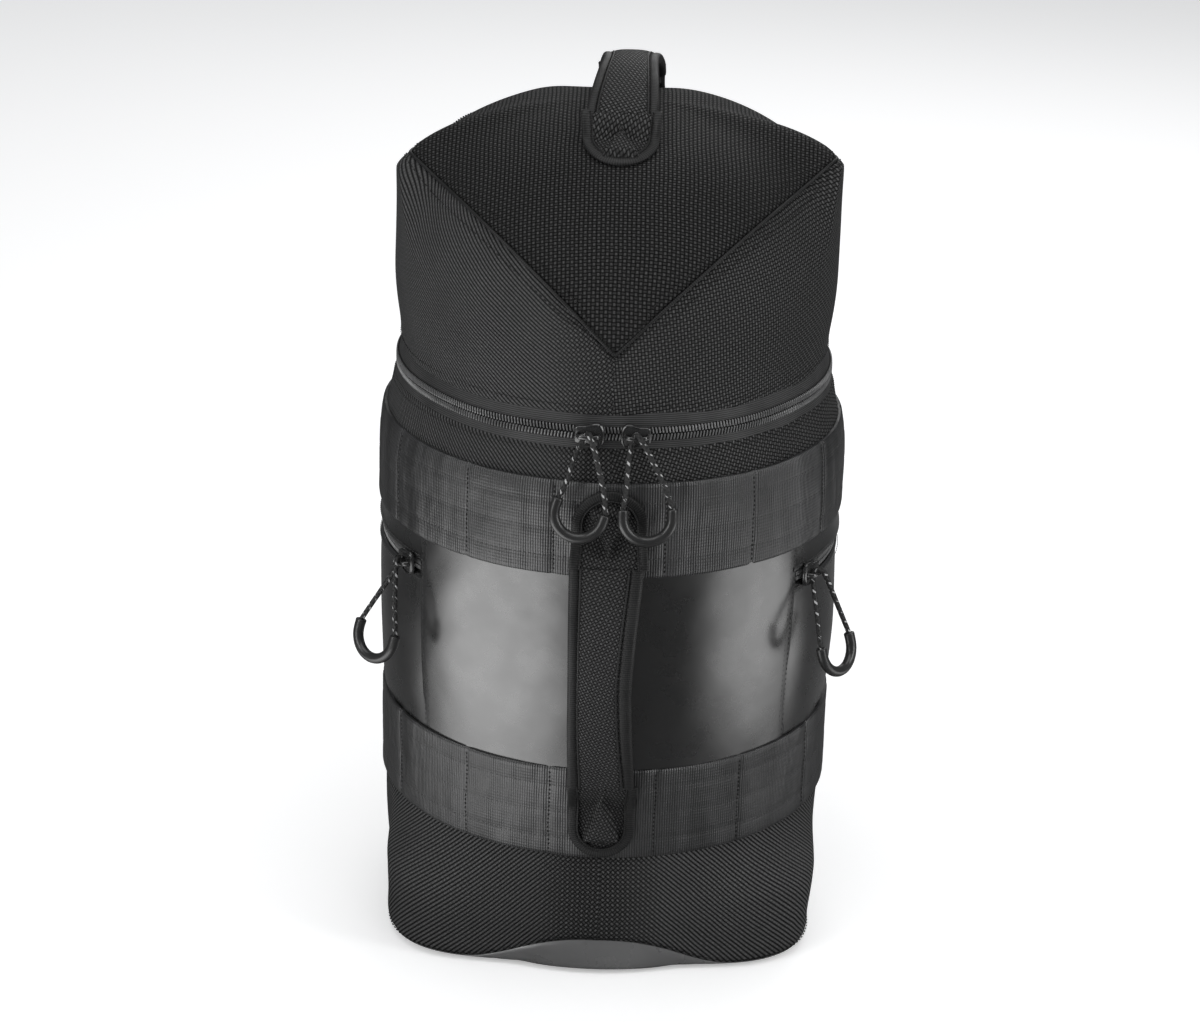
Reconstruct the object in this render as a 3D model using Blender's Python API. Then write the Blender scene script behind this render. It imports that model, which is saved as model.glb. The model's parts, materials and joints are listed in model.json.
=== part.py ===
"""Upright carry bag: a near-round soft body with a domed zip-round lid, webbing bands, side pockets,
a grab handle on the lid, a carry handle on the front, and a padded back with two shoulder straps.

Metres, +Z up. The origin is on the floor under the centre of the round front. The front faces -Y, and
"left" is the -X side. Run it with: blender --background --python part.py
"""

import math

import bmesh
import bpy
from mathutils import Matrix, Vector

# --- Plan: a round front and sides, small back corners and a flat back ------------------------------
RADIUS = 0.150  # outer face of the body fabric at its widest
ARC_STEP = 10.4  # degrees between the columns that every ring shares
ARC_END = 13 * ARC_STEP  # where the round sides meet the back corners
SEAM_ANGLE = 5 * ARC_STEP  # vertical seams beside the front panel
ZIP_END = 12 * ARC_STEP  # both main zip ends, and the back ends of the pocket zips
CORNER_RADIUS = 0.030
CORNER_STEPS = 4
CORNER_X = (RADIUS - CORNER_RADIUS) * math.sin(math.radians(ARC_END))
CORNER_Y = -(RADIUS - CORNER_RADIUS) * math.cos(math.radians(ARC_END))
BACK_Y = CORNER_Y + CORNER_RADIUS
BACK_COLUMNS = (0.5, 0.0, -0.5)  # shares of CORNER_X that get a column on the flat back

# --- Heights -----------------------------------------------------------------------------------------
BASE_SEAM = 0.010
BASE_TONGUE = 0.019  # how far the base rises in a tongue at the front
BASE_TONGUE_HALF = 0.060
BASE_FILL = 0.0245  # how far the bottom's front corners stand out from the round plan
FILL_ANGLE = 49.0  # where they stand out most, and how far round either side of it
FILL_SPREAD = 31.5
FILL_FADE = (0.046, 0.085)
LOWER_BAND = (0.089, 0.151)
UPPER_BAND = (0.285, 0.347)
BOOT_TOP = 0.120
PANEL_TOP = 0.316
POCKET_ZIP = (0.2600, 0.2665)
COLLAR_TOP = 0.3680
ZIP_LINE = 0.3775
LID_BOTTOM = 0.3845
SHOULDER = 0.500  # where the lid's wall turns into its dome
DOME_RISE = 0.0535
DOME_CENTRE_Y = -0.014
DOME_POWER = 2.6  # 2 would make the dome elliptical; more fills out its shoulder
LID_WAIST = 0.400

# --- Thicknesses and gaps ----------------------------------------------------------------------------
GAP = 0.0003
FABRIC = 0.0016
LINING = 0.0008
WEBBING = 0.0017
FOAM_INSIDE = -0.0180  # offset of the foam's inner face from the plan
POCKET_DEPTH = 0.0030
LID_FOAM = 0.0060
LID_CLEAR = 0.0032  # foam's gap behind the lid's outer fabric

# --- Set-in of the outer fabric from RADIUS at each height: (height, offset) -------------------------
BODY_PROFILE = (
    (0.000, -0.0166), (0.003, -0.0090), (0.010, -0.0072), (0.020, -0.0072), (0.035, -0.0055),
    (0.090, -0.0035), (0.150, -0.0030), (0.200, -0.001), (0.260, 0.000), (0.335, 0.000),
    (0.368, -0.004), (0.3775, -0.006),
)
LID_PROFILE = ((0.3775, -0.0075), (0.3845, -0.0085), (0.400, -0.0100), (0.440, -0.0080), (0.500, -0.0080))
LID_HALF_WIDTH = RADIUS - 0.008
SEAM_LOW = 0.426  # point of the V on the lid's front and back
SEAM_RISE = 0.1307
SEAM_DIP = 0.0437

# --- Handles -----------------------------------------------------------------------------------------
SLEEVE_WIDTH = 0.026
SLEEVE_THICK = 0.009
BINDING_WIDTH = 0.008
BINDING_THICK = 0.0045
TAB_THICK = 0.0042
TAB_HALF = 0.0225
FRONT_GRIP = (0.1450, 0.2955)
FRONT_TABS = ((0.0905, 0.1446), (0.2959, 0.3435))
FRONT_AXIS = RADIUS + 0.0055  # distance of the front handle's swing axis from the bag's axis
FRONT_STAND = (0.0035, 0.017)  # sleeve centre beyond FRONT_AXIS, at its ends and in the middle
TOP_GRIP = (-0.070, 0.042)
TOP_TABS = ((-0.100, -0.0704), (0.0424, 0.072))
TOP_AXIS = 0.5545
TOP_STAND = (0.0060, 0.0220)

# --- Zip sliders and cord pulls ----------------------------------------------------------------------
SLIDER_LENGTH = 0.0150
SLIDER_HEIGHT = 0.0110
SLIDER_PLATE = 0.0020
SLIDER_CLEAR = 0.0023  # slider's inner face beyond the zip tape's offset
BAR_RADIUS = 0.0011
CORD_RADIUS = 0.0017
BAR_STAND = 0.0050  # bar's axis beyond the slider's plate
WRAP_RADIUS = BAR_RADIUS + CORD_RADIUS + 0.0003
GRIP_RADIUS = 0.0034
GRIP_BORE = 0.0021
GRIP_BEND = 0.0155  # centreline radius of the curved grip
GRIP_LEG = 0.0045
PULL_DROP = 0.050  # bar to the centre of the grip's bend
MAIN_SLIDER_ANGLE = 5.6
MAIN_TILT = 11.0
MAIN_LEAN = 8.0
POCKET_SLIDER_ANGLE = 58.0
POCKET_TILT = 17.0
POCKET_TWIST = 22.0

# --- Back: pads and shoulder straps ------------------------------------------------------------------
PAD_THICK = 0.011
PAD_FACE = BACK_Y + WEBBING + 0.0010
STRAP_TOP = Vector((0.043, BACK_Y + 0.0125, 0.340))
STRAP_FOOT = Vector((0.074, BACK_Y + 0.0085, 0.052))
STRAP_STAND = 0.040
STRAP_WIDTH = 0.056
STRAP_THICK = 0.010
STRAP_PAD_END = 0.70  # share of the strap's run that is padded
WEB_WIDTH = 0.025
LOCK_SIZE = (0.036, 0.0065, 0.028)

COLOURS = {  # base colour, roughness, metallic
    "ballistic_nylon": ((0.022, 0.022, 0.023), 0.75, 0.0),
    "tarpaulin": ((0.035, 0.035, 0.036), 0.32, 0.0),
    "webbing": ((0.030, 0.030, 0.031), 0.55, 0.0),
    "binding": ((0.020, 0.020, 0.021), 0.65, 0.0),
    "zip": ((0.030, 0.030, 0.031), 0.40, 0.0),
    "zip_metal": ((0.10, 0.10, 0.105), 0.30, 0.9),
    "cord": ((0.030, 0.030, 0.031), 0.80, 0.0),
    "grip_plastic": ((0.025, 0.025, 0.026), 0.38, 0.0),
    "foam": ((0.055, 0.055, 0.058), 0.95, 0.0),
    "lining": ((0.100, 0.100, 0.105), 0.70, 0.0),
    "mesh": ((0.030, 0.030, 0.031), 0.90, 0.0),
    "board": ((0.015, 0.015, 0.015), 0.50, 0.0),
}


def clear_scene():
    for obj in list(bpy.data.objects):
        bpy.data.objects.remove(obj, do_unlink=True)


def material(name):
    found = bpy.data.materials.get(name)
    if found:
        return found
    colour, rough, metal = COLOURS[name]
    made = bpy.data.materials.new(name)
    made.use_nodes = True
    shader = made.node_tree.nodes["Principled BSDF"]
    shader.inputs["Base Color"].default_value = (*colour, 1.0)
    shader.inputs["Roughness"].default_value = rough
    shader.inputs["Metallic"].default_value = metal
    return made


def add_object(name, points, faces, finish):
    """An object with a closed mesh from points in world metres."""
    mesh = bpy.data.meshes.new(name)
    mesh.from_pydata(points, [], faces)
    work = bmesh.new()
    work.from_mesh(mesh)
    bmesh.ops.recalc_face_normals(work, faces=work.faces)
    if work.calc_volume(signed=True) < 0:
        bmesh.ops.reverse_faces(work, faces=work.faces)
    work.to_mesh(mesh)
    work.free()
    mesh.shade_smooth()
    mesh.set_sharp_from_angle(angle=math.radians(35))
    mesh.materials.append(material(finish))
    obj = bpy.data.objects.new(name, mesh)
    bpy.context.scene.collection.objects.link(obj)
    return obj


# --- Plan columns ------------------------------------------------------------------------------------


def column(angle):
    """A plan column at this outward direction: (point on the outline, outward normal)."""
    turn = math.radians(angle)
    normal = Vector((math.sin(turn), -math.cos(turn), 0))
    if abs(angle) <= ARC_END:
        return normal * RADIUS, normal
    centre = Vector((math.copysign(CORNER_X, angle), CORNER_Y, 0))
    return centre + normal * CORNER_RADIUS, normal


def arc_columns(start, end, trim=0.0):
    """Columns on the shared angles from start to end, with trim degrees taken off each end."""
    first, last = round(start / ARC_STEP), round(end / ARC_STEP)
    angles = [step * ARC_STEP for step in range(first, last + 1)]
    angles[0] += trim
    angles[-1] -= trim
    return [column(angle) for angle in angles]


def corner_columns():
    """Columns round the right back corner and onto the flat back, after the last arc column."""
    turn = (180 - ARC_END) / CORNER_STEPS
    return [column(ARC_END + turn * step) for step in range(1, CORNER_STEPS + 1)]


def mirrored(columns):
    return [
        (Vector((-point.x, point.y, 0)), Vector((-normal.x, normal.y, 0)))
        for point, normal in reversed(columns)
    ]


def flat_columns():
    back = Vector((0, 1, 0))
    return [(Vector((CORNER_X * share, BACK_Y, 0)), back) for share in BACK_COLUMNS]


def whole_plan():
    """Columns right round the bag, starting at the left back end of the arc."""
    right = corner_columns()
    return arc_columns(-ARC_END, ARC_END) + right + flat_columns() + mirrored(right)


def back_plan():
    """Columns from the right zip end round the back to the left one."""
    sides = arc_columns(ZIP_END, ARC_END) + corner_columns()
    sides[0] = column(ZIP_END + 0.12)
    return sides + flat_columns() + mirrored(sides)


def profile_offset(profile, height):
    """Offset at a height, by straight lines between the profile's points."""
    if height <= profile[0][0]:
        return profile[0][1]
    for (low, a), (high, b) in zip(profile, profile[1:]):
        if height <= high:
            return a + (b - a) * (height - low) / (high - low)
    return profile[-1][1]


def body_offset(height):
    return profile_offset(BODY_PROFILE, height)


def lid_offset(height):
    return profile_offset(LID_PROFILE, height)


def at(col, offset, height):
    point, normal = col
    place = point + normal * offset
    return Vector((place.x, place.y, height))


# --- Sheet solids: two grids of points joined at their edges ----------------------------------------


def sheet_solid(name, outer, inner, finish, wrap=False):
    """A closed sheet. outer and inner are grids [row][column]; wrap joins the last column to the first."""
    rows, cols = len(outer), len(outer[0])
    points = [p for grid in (outer, inner) for row in grid for p in row]
    shift = rows * cols
    faces = []
    spans = range(cols if wrap else cols - 1)
    for r in range(rows - 1):
        for c in spans:
            a, b = r * cols + c, r * cols + (c + 1) % cols
            faces.append((a, b, b + cols, a + cols))
            faces.append((a + shift, a + cols + shift, b + cols + shift, b + shift))
    for c in spans:
        a, b = c, (c + 1) % cols
        faces.append((a, a + shift, b + shift, b))
        low = (rows - 1) * cols
        faces.append((a + low, b + low, b + low + shift, a + low + shift))
    if not wrap:
        for r in range(rows - 1):
            for c in (0, cols - 1):
                a = r * cols + c
                faces.append((a, a + cols, a + cols + shift, a + shift))
    return add_object(name, points, faces, finish)


def capped_solid(name, outer, inner, outer_tip, inner_tip, finish):
    """A bowl: two wrapped grids, each closed by a fan to its tip, joined at their first rows."""
    rows, cols = len(outer), len(outer[0])
    points = [p for grid in (outer, inner) for row in grid for p in row] + [outer_tip, inner_tip]
    shift = rows * cols
    tips = (2 * shift, 2 * shift + 1)
    faces = []
    for c in range(cols):
        d = (c + 1) % cols
        for r in range(rows - 1):
            a, b = r * cols + c, r * cols + d
            faces.append((a, b, b + cols, a + cols))
            faces.append((a + shift, a + cols + shift, b + cols + shift, b + shift))
        last = (rows - 1) * cols
        faces.append((last + c, last + d, tips[0]))
        faces.append((last + d + shift, last + c + shift, tips[1]))
        faces.append((c, c + shift, d + shift, d))
    return add_object(name, points, faces, finish)


def fabric_panel(name, columns, heights, finish, wrap=False, offset=body_offset, thick=FABRIC, proud=0.0):
    """A fabric sheet that follows the bag's side between the first and last height."""
    outer = [[at(c, offset(h) + proud, h) for c in columns] for h in heights]
    inner = [[at(c, offset(h) + proud - thick, h) for c in columns] for h in heights]
    return sheet_solid(name, outer, inner, finish, wrap)


def levels(low, high, count):
    return [low + (high - low) * step / count for step in range(count + 1)]


# --- Swept solids ------------------------------------------------------------------------------------


def sweep_solid(name, stations, finish, closed=False):
    """A solid through stations, each a ring of points in the same order."""
    count, size = len(stations), len(stations[0])
    points = [p for ring in stations for p in ring]
    faces = []
    for s in range(count if closed else count - 1):
        for k in range(size):
            a, b = s * size + k, s * size + (k + 1) % size
            c, d = ((s + 1) % count) * size + (k + 1) % size, ((s + 1) % count) * size + k
            faces.append((a, b, c, d))
    if not closed:
        faces.append(tuple(reversed(range(size))))
        faces.append(tuple((count - 1) * size + k for k in range(size)))
    return add_object(name, points, faces, finish)


def hollow_sweep(name, outer, inner, finish):
    """A pipe, open at both ends, from matching outer and inner stations."""
    count, size = len(outer), len(outer[0])
    points = [p for rings in (outer, inner) for ring in rings for p in ring]
    shift = count * size
    faces = []
    for s in range(count - 1):
        for k in range(size):
            a, b = s * size + k, s * size + (k + 1) % size
            faces.append((a, b, b + size, a + size))
            faces.append((a + shift, a + size + shift, b + size + shift, b + shift))
    for s in (0, (count - 1) * size):
        for k in range(size):
            a, b = s + k, s + (k + 1) % size
            faces.append((a, b, b + shift, a + shift))
    return add_object(name, points, faces, finish)


def box_section(half_width, half_thick, bevel=0.3):
    """Eight points of a bevelled rectangle, as (across, out)."""
    cut = min(half_width, half_thick) * bevel
    w, t = half_width, half_thick
    return [(-w, -t + cut), (-w + cut, -t), (w - cut, -t), (w, -t + cut),
            (w, t - cut), (w - cut, t), (-w + cut, t), (-w, t - cut)]


def placed(section, origin, across, out):
    return [origin + across * a + out * b for a, b in section]


def round_rings(path, radius, sides, closed=False):
    """Rings of a round tube along a path, turned as little as possible from one to the next."""
    count = len(path)
    tangents = []
    for i in range(count):
        before = path[(i - 1) % count] if closed or i else path[i]
        after = path[(i + 1) % count] if closed or i < count - 1 else path[i]
        tangents.append((after - before).normalized())
    side = tangents[0].orthogonal().normalized()
    frames = []
    for tangent in tangents + ([tangents[0]] if closed else []):
        side = (side - tangent * side.dot(tangent)).normalized()
        frames.append(side.copy())
    twist = 0.0
    if closed:
        up = tangents[0].cross(frames[0])
        twist = -math.atan2(frames[-1].dot(up), frames[-1].dot(frames[0]))
    rings = []
    for i in range(count):
        turn = Matrix.Rotation(twist * i / count, 3, tangents[i])
        a = turn @ frames[i]
        b = tangents[i].cross(a)
        spokes = [2 * math.pi * k / sides for k in range(sides)]
        rings.append([path[i] + (a * math.cos(s) + b * math.sin(s)) * radius for s in spokes])
    return rings


# --- Body ---------------------------------------------------------------------------------------------


def skin(col, height):
    """Offset of the lower fabric: the body's profile, filled out at the front corners."""
    point, _ = col
    angle = abs(math.degrees(math.atan2(point.x, -point.y)))
    beside = min(1.0, abs(angle - FILL_ANGLE) / FILL_SPREAD)
    low, high = FILL_FADE
    above = min(1.0, max(0.0, (height - low) / (high - low)))
    fill = BASE_FILL * math.cos(beside * math.pi / 2) ** 2 * math.cos(above * math.pi / 2) ** 2
    return body_offset(height) + fill


def base_seam(col):
    """Height of the seam between base and boot: low all round, with a tongue at the front."""
    point, _ = col
    share = abs(point.x) / BASE_TONGUE_HALF
    if point.y > 0 or share >= 1:
        return BASE_SEAM
    return BASE_SEAM + BASE_TONGUE * (0.5 + 0.5 * math.cos(math.pi * share))


def build_base():
    plan = whole_plan()
    rows = [[], [], [], []]
    inner = [[], [], [], []]
    for col in plan:
        top = base_seam(col)
        for k, h in enumerate((top, (top + 0.003) / 2, 0.003, 0.0)):
            rows[k].append(at(col, skin(col, h), h))
            inner[k].append(at(col, skin(col, h) - FABRIC, max(h, FABRIC)))
    inner[3] = [at(col, skin(col, 0) - 2 * FABRIC, FABRIC) for col in plan]
    capped_solid("base_shell", rows, inner, Vector((0, 0, 0)), Vector((0, 0, FABRIC)), "tarpaulin")

    def disc(name, low, high, offset, finish):
        top = [[at(col, offset, high) for col in plan]]
        bottom = [[at(col, offset, low) for col in plan]]
        capped_solid(name, top, bottom, Vector((0, 0, high)), Vector((0, 0, low)), finish)

    disc("base_board", FABRIC + GAP, 0.0049, -0.0290, "board")
    disc("base_foam", 0.0052, 0.0132, -0.0200, "foam")


def build_wall_padding():
    plan = whole_plan()
    heights = (0.0140, 0.035, 0.120, 0.240, 0.366)

    def face(col, height):
        point, _ = col
        beside = abs(math.degrees(math.atan2(point.x, -point.y)))
        pocket = SEAM_ANGLE - 1 < beside < ZIP_END + 1
        return body_offset(height) - FABRIC - (POCKET_DEPTH + LINING if pocket else 0) - 3 * GAP

    outer = [[at(c, face(c, h), h) for c in plan] for h in heights]
    inner = [[at(c, FOAM_INSIDE, h) for c in plan] for h in heights]
    sheet_solid("wall_foam", outer, inner, "foam", wrap=True)
    outer = [[at(c, FOAM_INSIDE - GAP, h) for c in plan] for h in (0.0135, 0.366)]
    inner = [[at(c, FOAM_INSIDE - GAP - LINING, h) for c in plan] for h in (0.0135, 0.366)]
    sheet_solid("body_lining", outer, inner, "lining", wrap=True)


def build_boot():
    plan = whole_plan()

    def row(share, inset):
        made = []
        for col in plan:
            low = base_seam(col) + GAP
            h = low + (BOOT_TOP - low) * share
            made.append(at(col, skin(col, h) - inset, h))
        return made

    shares = (0.0, 0.10, 0.25, 0.45, 0.68, 1.0)
    outer = [row(share, 0.0) for share in shares]
    inner = [row(share, FABRIC) for share in shares]
    sheet_solid("boot_panel", outer, inner, "ballistic_nylon", wrap=True)


def build_side_fabric():
    low = BOOT_TOP + GAP
    tall = levels(low, PANEL_TOP, 3)
    fabric_panel("front_panel", arc_columns(-SEAM_ANGLE, SEAM_ANGLE, 0.06), tall, "tarpaulin")
    fabric_panel("back_panel", back_plan(), tall, "ballistic_nylon")
    tall_collar = (PANEL_TOP + GAP, 0.335, COLLAR_TOP)
    fabric_panel("collar_panel", whole_plan(), tall_collar, "ballistic_nylon", wrap=True)
    right = arc_columns(SEAM_ANGLE, ZIP_END, 0.06)
    liner = arc_columns(SEAM_ANGLE, ZIP_END, 1.2)
    for side, cols, back in (("left", mirrored(right), mirrored(liner)), ("right", right, liner)):
        fabric_panel(f"pocket_front_{side}", cols, levels(low, POCKET_ZIP[0], 2), "tarpaulin")
        fabric_panel(f"pocket_yoke_{side}", cols, (POCKET_ZIP[1], PANEL_TOP), "tarpaulin")
        fabric_panel(f"pocket_liner_{side}", back, (0.156, 0.230, 0.305), "lining",
                     thick=LINING, proud=-FABRIC - POCKET_DEPTH)
        coil = ((POCKET_ZIP[0] + GAP, -0.0011), (0.2615, -0.0011), (0.2618, 0.0004),
                (0.2647, 0.0004), (0.2650, -0.0011), (POCKET_ZIP[1] - GAP, -0.0011))
        zip_strip(f"pocket_zip_{side}", cols, coil, body_offset)


def zip_strip(name, columns, profile, offset):
    """Zip tape with its raised coil: profile is (height, rise over the fabric's outer face)."""
    outer = [[at(c, offset(h) + rise, h) for c in columns] for h, rise in profile]
    inner = [[at(c, offset(h) - FABRIC, h) for c in columns] for h, _ in profile]
    return sheet_solid(name, outer, inner, "zip")


def build_bands():
    plan = whole_plan()
    for name, (low, high) in (("lower_band", LOWER_BAND), ("upper_band", UPPER_BAND)):
        fabric_panel(name, plan, (low, high), "webbing", wrap=True, thick=WEBBING, proud=WEBBING + 2 * GAP,
                     offset=lambda h, a=low, b=high: max(body_offset(a), body_offset(b)))


def build_main_zip():
    cols = arc_columns(-ZIP_END, ZIP_END)
    half = ZIP_LINE - GAP
    lower = ((COLLAR_TOP + GAP, -0.0006), (0.3733, -0.0006), (0.3737, 0.0012), (half, 0.0012))
    zip_strip("body_zip_tape", cols, lower, body_offset)
    half = ZIP_LINE + GAP
    upper = ((half, 0.0027), (0.3813, 0.0027), (0.3817, 0.0009), (LID_BOTTOM - GAP, 0.0009))
    zip_strip("lid_zip_tape", cols, upper, lid_offset)
    strip = back_plan()
    fabric_panel("hinge_tape", strip, (COLLAR_TOP + GAP, LID_BOTTOM - GAP), "ballistic_nylon",
                 offset=lambda h: body_offset(ZIP_LINE))


# --- Lid ----------------------------------------------------------------------------------------------


def lid_seam(point):
    """Height of the seam round the lid's top panel: a V at the front and back, high at the sides."""
    across = min(1.0, abs(point.x) / LID_HALF_WIDTH)
    return SEAM_LOW + SEAM_RISE * across - SEAM_DIP * (1 - math.sqrt(1 - across * across))


def dome_turn(height):
    """Angle round the dome's section, 0 at the shoulder, of a height above it."""
    return math.asin(((height - SHOULDER) / DOME_RISE) ** (DOME_POWER / 2))


def dome_slope(y):
    """Height and grade of the dome along its centreline at this y."""
    edge = -LID_HALF_WIDTH if y < DOME_CENTRE_Y else BACK_Y - 0.008
    share = (y - DOME_CENTRE_Y) / (edge - DOME_CENTRE_Y)
    level = (1 - share**DOME_POWER) ** (1 / DOME_POWER)
    grade = -DOME_RISE * (share / level) ** (DOME_POWER - 1) / (edge - DOME_CENTRE_Y)
    return SHOULDER + DOME_RISE * level, grade


def lid_point(col, height, inset=0.0, turn=None):
    """A point on the lid: on its wall at a height, or on its dome at a turn from the shoulder."""
    if turn is None and height <= SHOULDER:
        return at(col, lid_offset(height) - inset, height)
    if turn is None:
        turn = dome_turn(height)
    rim = at(col, lid_offset(SHOULDER) - inset, 0)
    centre = Vector((0, DOME_CENTRE_Y, 0))
    place = centre + (rim - centre) * math.cos(turn) ** (2 / DOME_POWER)
    return Vector((place.x, place.y, SHOULDER + (DOME_RISE - inset) * math.sin(turn) ** (2 / DOME_POWER)))


def meridian(height):
    """Distance up the lid as one number: 0 to 1 up the wall, 1 to 2 over the dome."""
    if height <= SHOULDER:
        return (height - LID_BOTTOM) / (SHOULDER - LID_BOTTOM)
    return 1 + dome_turn(height) / (math.pi / 2)


def on_meridian(col, m, inset):
    if m <= 1:
        return lid_point(col, LID_BOTTOM + m * (SHOULDER - LID_BOTTOM), inset)
    return lid_point(col, SHOULDER, inset, turn=(m - 1) * math.pi / 2)


def build_lid_fabric():
    plan = whole_plan()
    seams = [meridian(lid_seam(point)) for point, _ in plan]

    def skirt_row(share, inset):
        return [on_meridian(col, (m - 0.004) * share, inset) for col, m in zip(plan, seams)]

    shares = (0.0, 0.14, 0.50, 0.80, 0.92, 1.0)
    outer = [skirt_row(share, 0.0) for share in shares]
    inner = [skirt_row(share, FABRIC) for share in shares]
    sheet_solid("lid_skirt", outer, inner, "ballistic_nylon", wrap=True)

    def top_row(step, inset):
        """Two steps from the seam to just over the shoulder, then the rest over the dome."""
        row = []
        for col, m in zip(plan, seams):
            knee = max(1.06, m + 0.10)
            reach = m + (knee - m) * step / 2 if step <= 2 else knee + (2 - knee) * (step - 2) * 0.22
            row.append(on_meridian(col, reach, inset))
        return row

    steps = range(7)
    outer = [top_row(step, 0.0) for step in steps]
    inner = [top_row(step, FABRIC) for step in steps]
    peak = Vector((0, DOME_CENTRE_Y, SHOULDER + DOME_RISE))
    capped_solid("lid_top_panel", outer, inner, peak, peak - Vector((0, 0, FABRIC)), "ballistic_nylon")


def build_lid_padding():
    plan = whole_plan()

    def shell(name, skin, thick, finish):
        heights = (0.386, LID_WAIST, 0.440, SHOULDER)
        turns = [math.radians(a) for a in (18, 38, 60, 78)]

        def rows(inset):
            wall = [[lid_point(c, h, inset) for c in plan] for h in heights]
            return wall + [[lid_point(c, SHOULDER, inset, turn=t) for c in plan] for t in turns]

        peak = Vector((0, DOME_CENTRE_Y, SHOULDER + DOME_RISE - skin))
        capped_solid(name, rows(skin), rows(skin + thick), peak, peak - Vector((0, 0, thick)), finish)

    shell("lid_foam", FABRIC + LID_CLEAR, LID_FOAM, "foam")
    shell("lid_lining", FABRIC + LID_CLEAR + LID_FOAM + GAP, LINING, "lining")


# --- Handles ------------------------------------------------------------------------------------------


def handle(prefix, path, across, moving, tabs):
    """Sleeve, foam core and two edge bindings along path, and the two sewn-down tabs.

    path(t) gives (centre, outward) for t in moving; tabs are lists of (centre, outward) stations.
    """
    stations = [path(t) for t in moving]
    half, thick = SLEEVE_WIDTH / 2, SLEEVE_THICK / 2

    def rings(section):
        return [placed(section, centre, across, out) for centre, out in stations]

    wall = 0.0012
    outer = rings(box_section(half, thick, 0.45))
    inner = rings(box_section(half - wall, thick - wall, 0.45))
    hollow_sweep(f"{prefix}_sleeve", outer, inner, "ballistic_nylon")
    sweep_solid(f"{prefix}_core", rings(box_section(half - wall - GAP, thick - wall - GAP, 0.45)), "foam")
    for side, sign in (("left", -1), ("right", 1)):
        middle = sign * (half + GAP + BINDING_WIDTH / 2)
        section = [(a + middle, b) for a, b in box_section(BINDING_WIDTH / 2, BINDING_THICK / 2, 0.5)]
        sweep_solid(f"{prefix}_binding_{side}", rings(section), "binding")
    for end, run in tabs.items():
        made = []
        for centre, out, width in run:
            made.append(placed(box_section(width, TAB_THICK / 2, 0.5), centre, across, out))
        sweep_solid(f"{prefix}_tab_{end}", made, "ballistic_nylon")


def tab_width(share):
    """Half-width of a tab from its rounded free end (0) to the end at the sleeve (1)."""
    reach = min(1.0, share / 0.42)
    return TAB_HALF * math.sqrt(max(0.10, 1 - (1 - reach) ** 2))


def build_front_handle():
    low, high = FRONT_GRIP
    across = Vector((1, 0, 0))

    def path(t):
        rise = FRONT_STAND[0] + (FRONT_STAND[1] - FRONT_STAND[0]) * math.sin(math.pi * t) ** 0.8
        return Vector((0, -FRONT_AXIS - rise, low + (high - low) * t)), Vector((0, -1, 0))

    tabs = {}
    for end, (a, b), free_low in (("lower", FRONT_TABS[0], True), ("upper", FRONT_TABS[1], False)):
        run = []
        for step in range(7):
            share = step / 6
            h = a + (b - a) * (share if free_low else 1 - share)
            lift = max(0.0, share - 0.8) / 0.2
            y = -(RADIUS + 0.0033 + TAB_THICK / 2 + lift * 0.0045)
            run.append((Vector((0, y, h)), Vector((0, -1, 0)), tab_width(share)))
        tabs[end] = run
    handle("front_handle", path, across, [s / 10 for s in range(11)], tabs)


def build_top_handle():
    start, stop = TOP_GRIP
    across = Vector((1, 0, 0))

    def path(t):
        rise = TOP_STAND[0] + (TOP_STAND[1] - TOP_STAND[0]) * math.sin(math.pi * t) ** 0.8
        return Vector((0, start + (stop - start) * t, TOP_AXIS + rise)), Vector((0, 0, 1))

    tabs = {}
    for end, (a, b), free_front in (("front", TOP_TABS[0], True), ("rear", TOP_TABS[1], False)):
        run = []
        for step in range(8):
            share = step / 7
            y = a + (b - a) * (share if free_front else 1 - share)
            dome, grade = dome_slope(y)
            out = Vector((0, -grade, 1)).normalized()
            lift = max(0.0, share - 0.62) / 0.38
            clear = 0.0005 + TAB_THICK / 2 + lift * lift * 0.0055
            run.append((Vector((0, y, dome)) + out * clear, out, tab_width(share)))
        flat = run[-1]
        run[-1] = (flat[0], Vector((0, 0, 1)), flat[2])
        tabs[end] = run
    handle("top_handle", path, across, [s / 10 for s in range(11)], tabs)


# --- Zip sliders, cords and grips ---------------------------------------------------------------------


def slider_frame(angle, height, face):
    """Axes at a slider: its inner face's centre, the way along the zip, outward, and up."""
    turn = math.radians(angle)
    out = Vector((math.sin(turn), -math.cos(turn), 0))
    along = Vector((math.cos(turn), math.sin(turn), 0))
    return out * face + Vector((0, 0, height)), along, out


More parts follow.
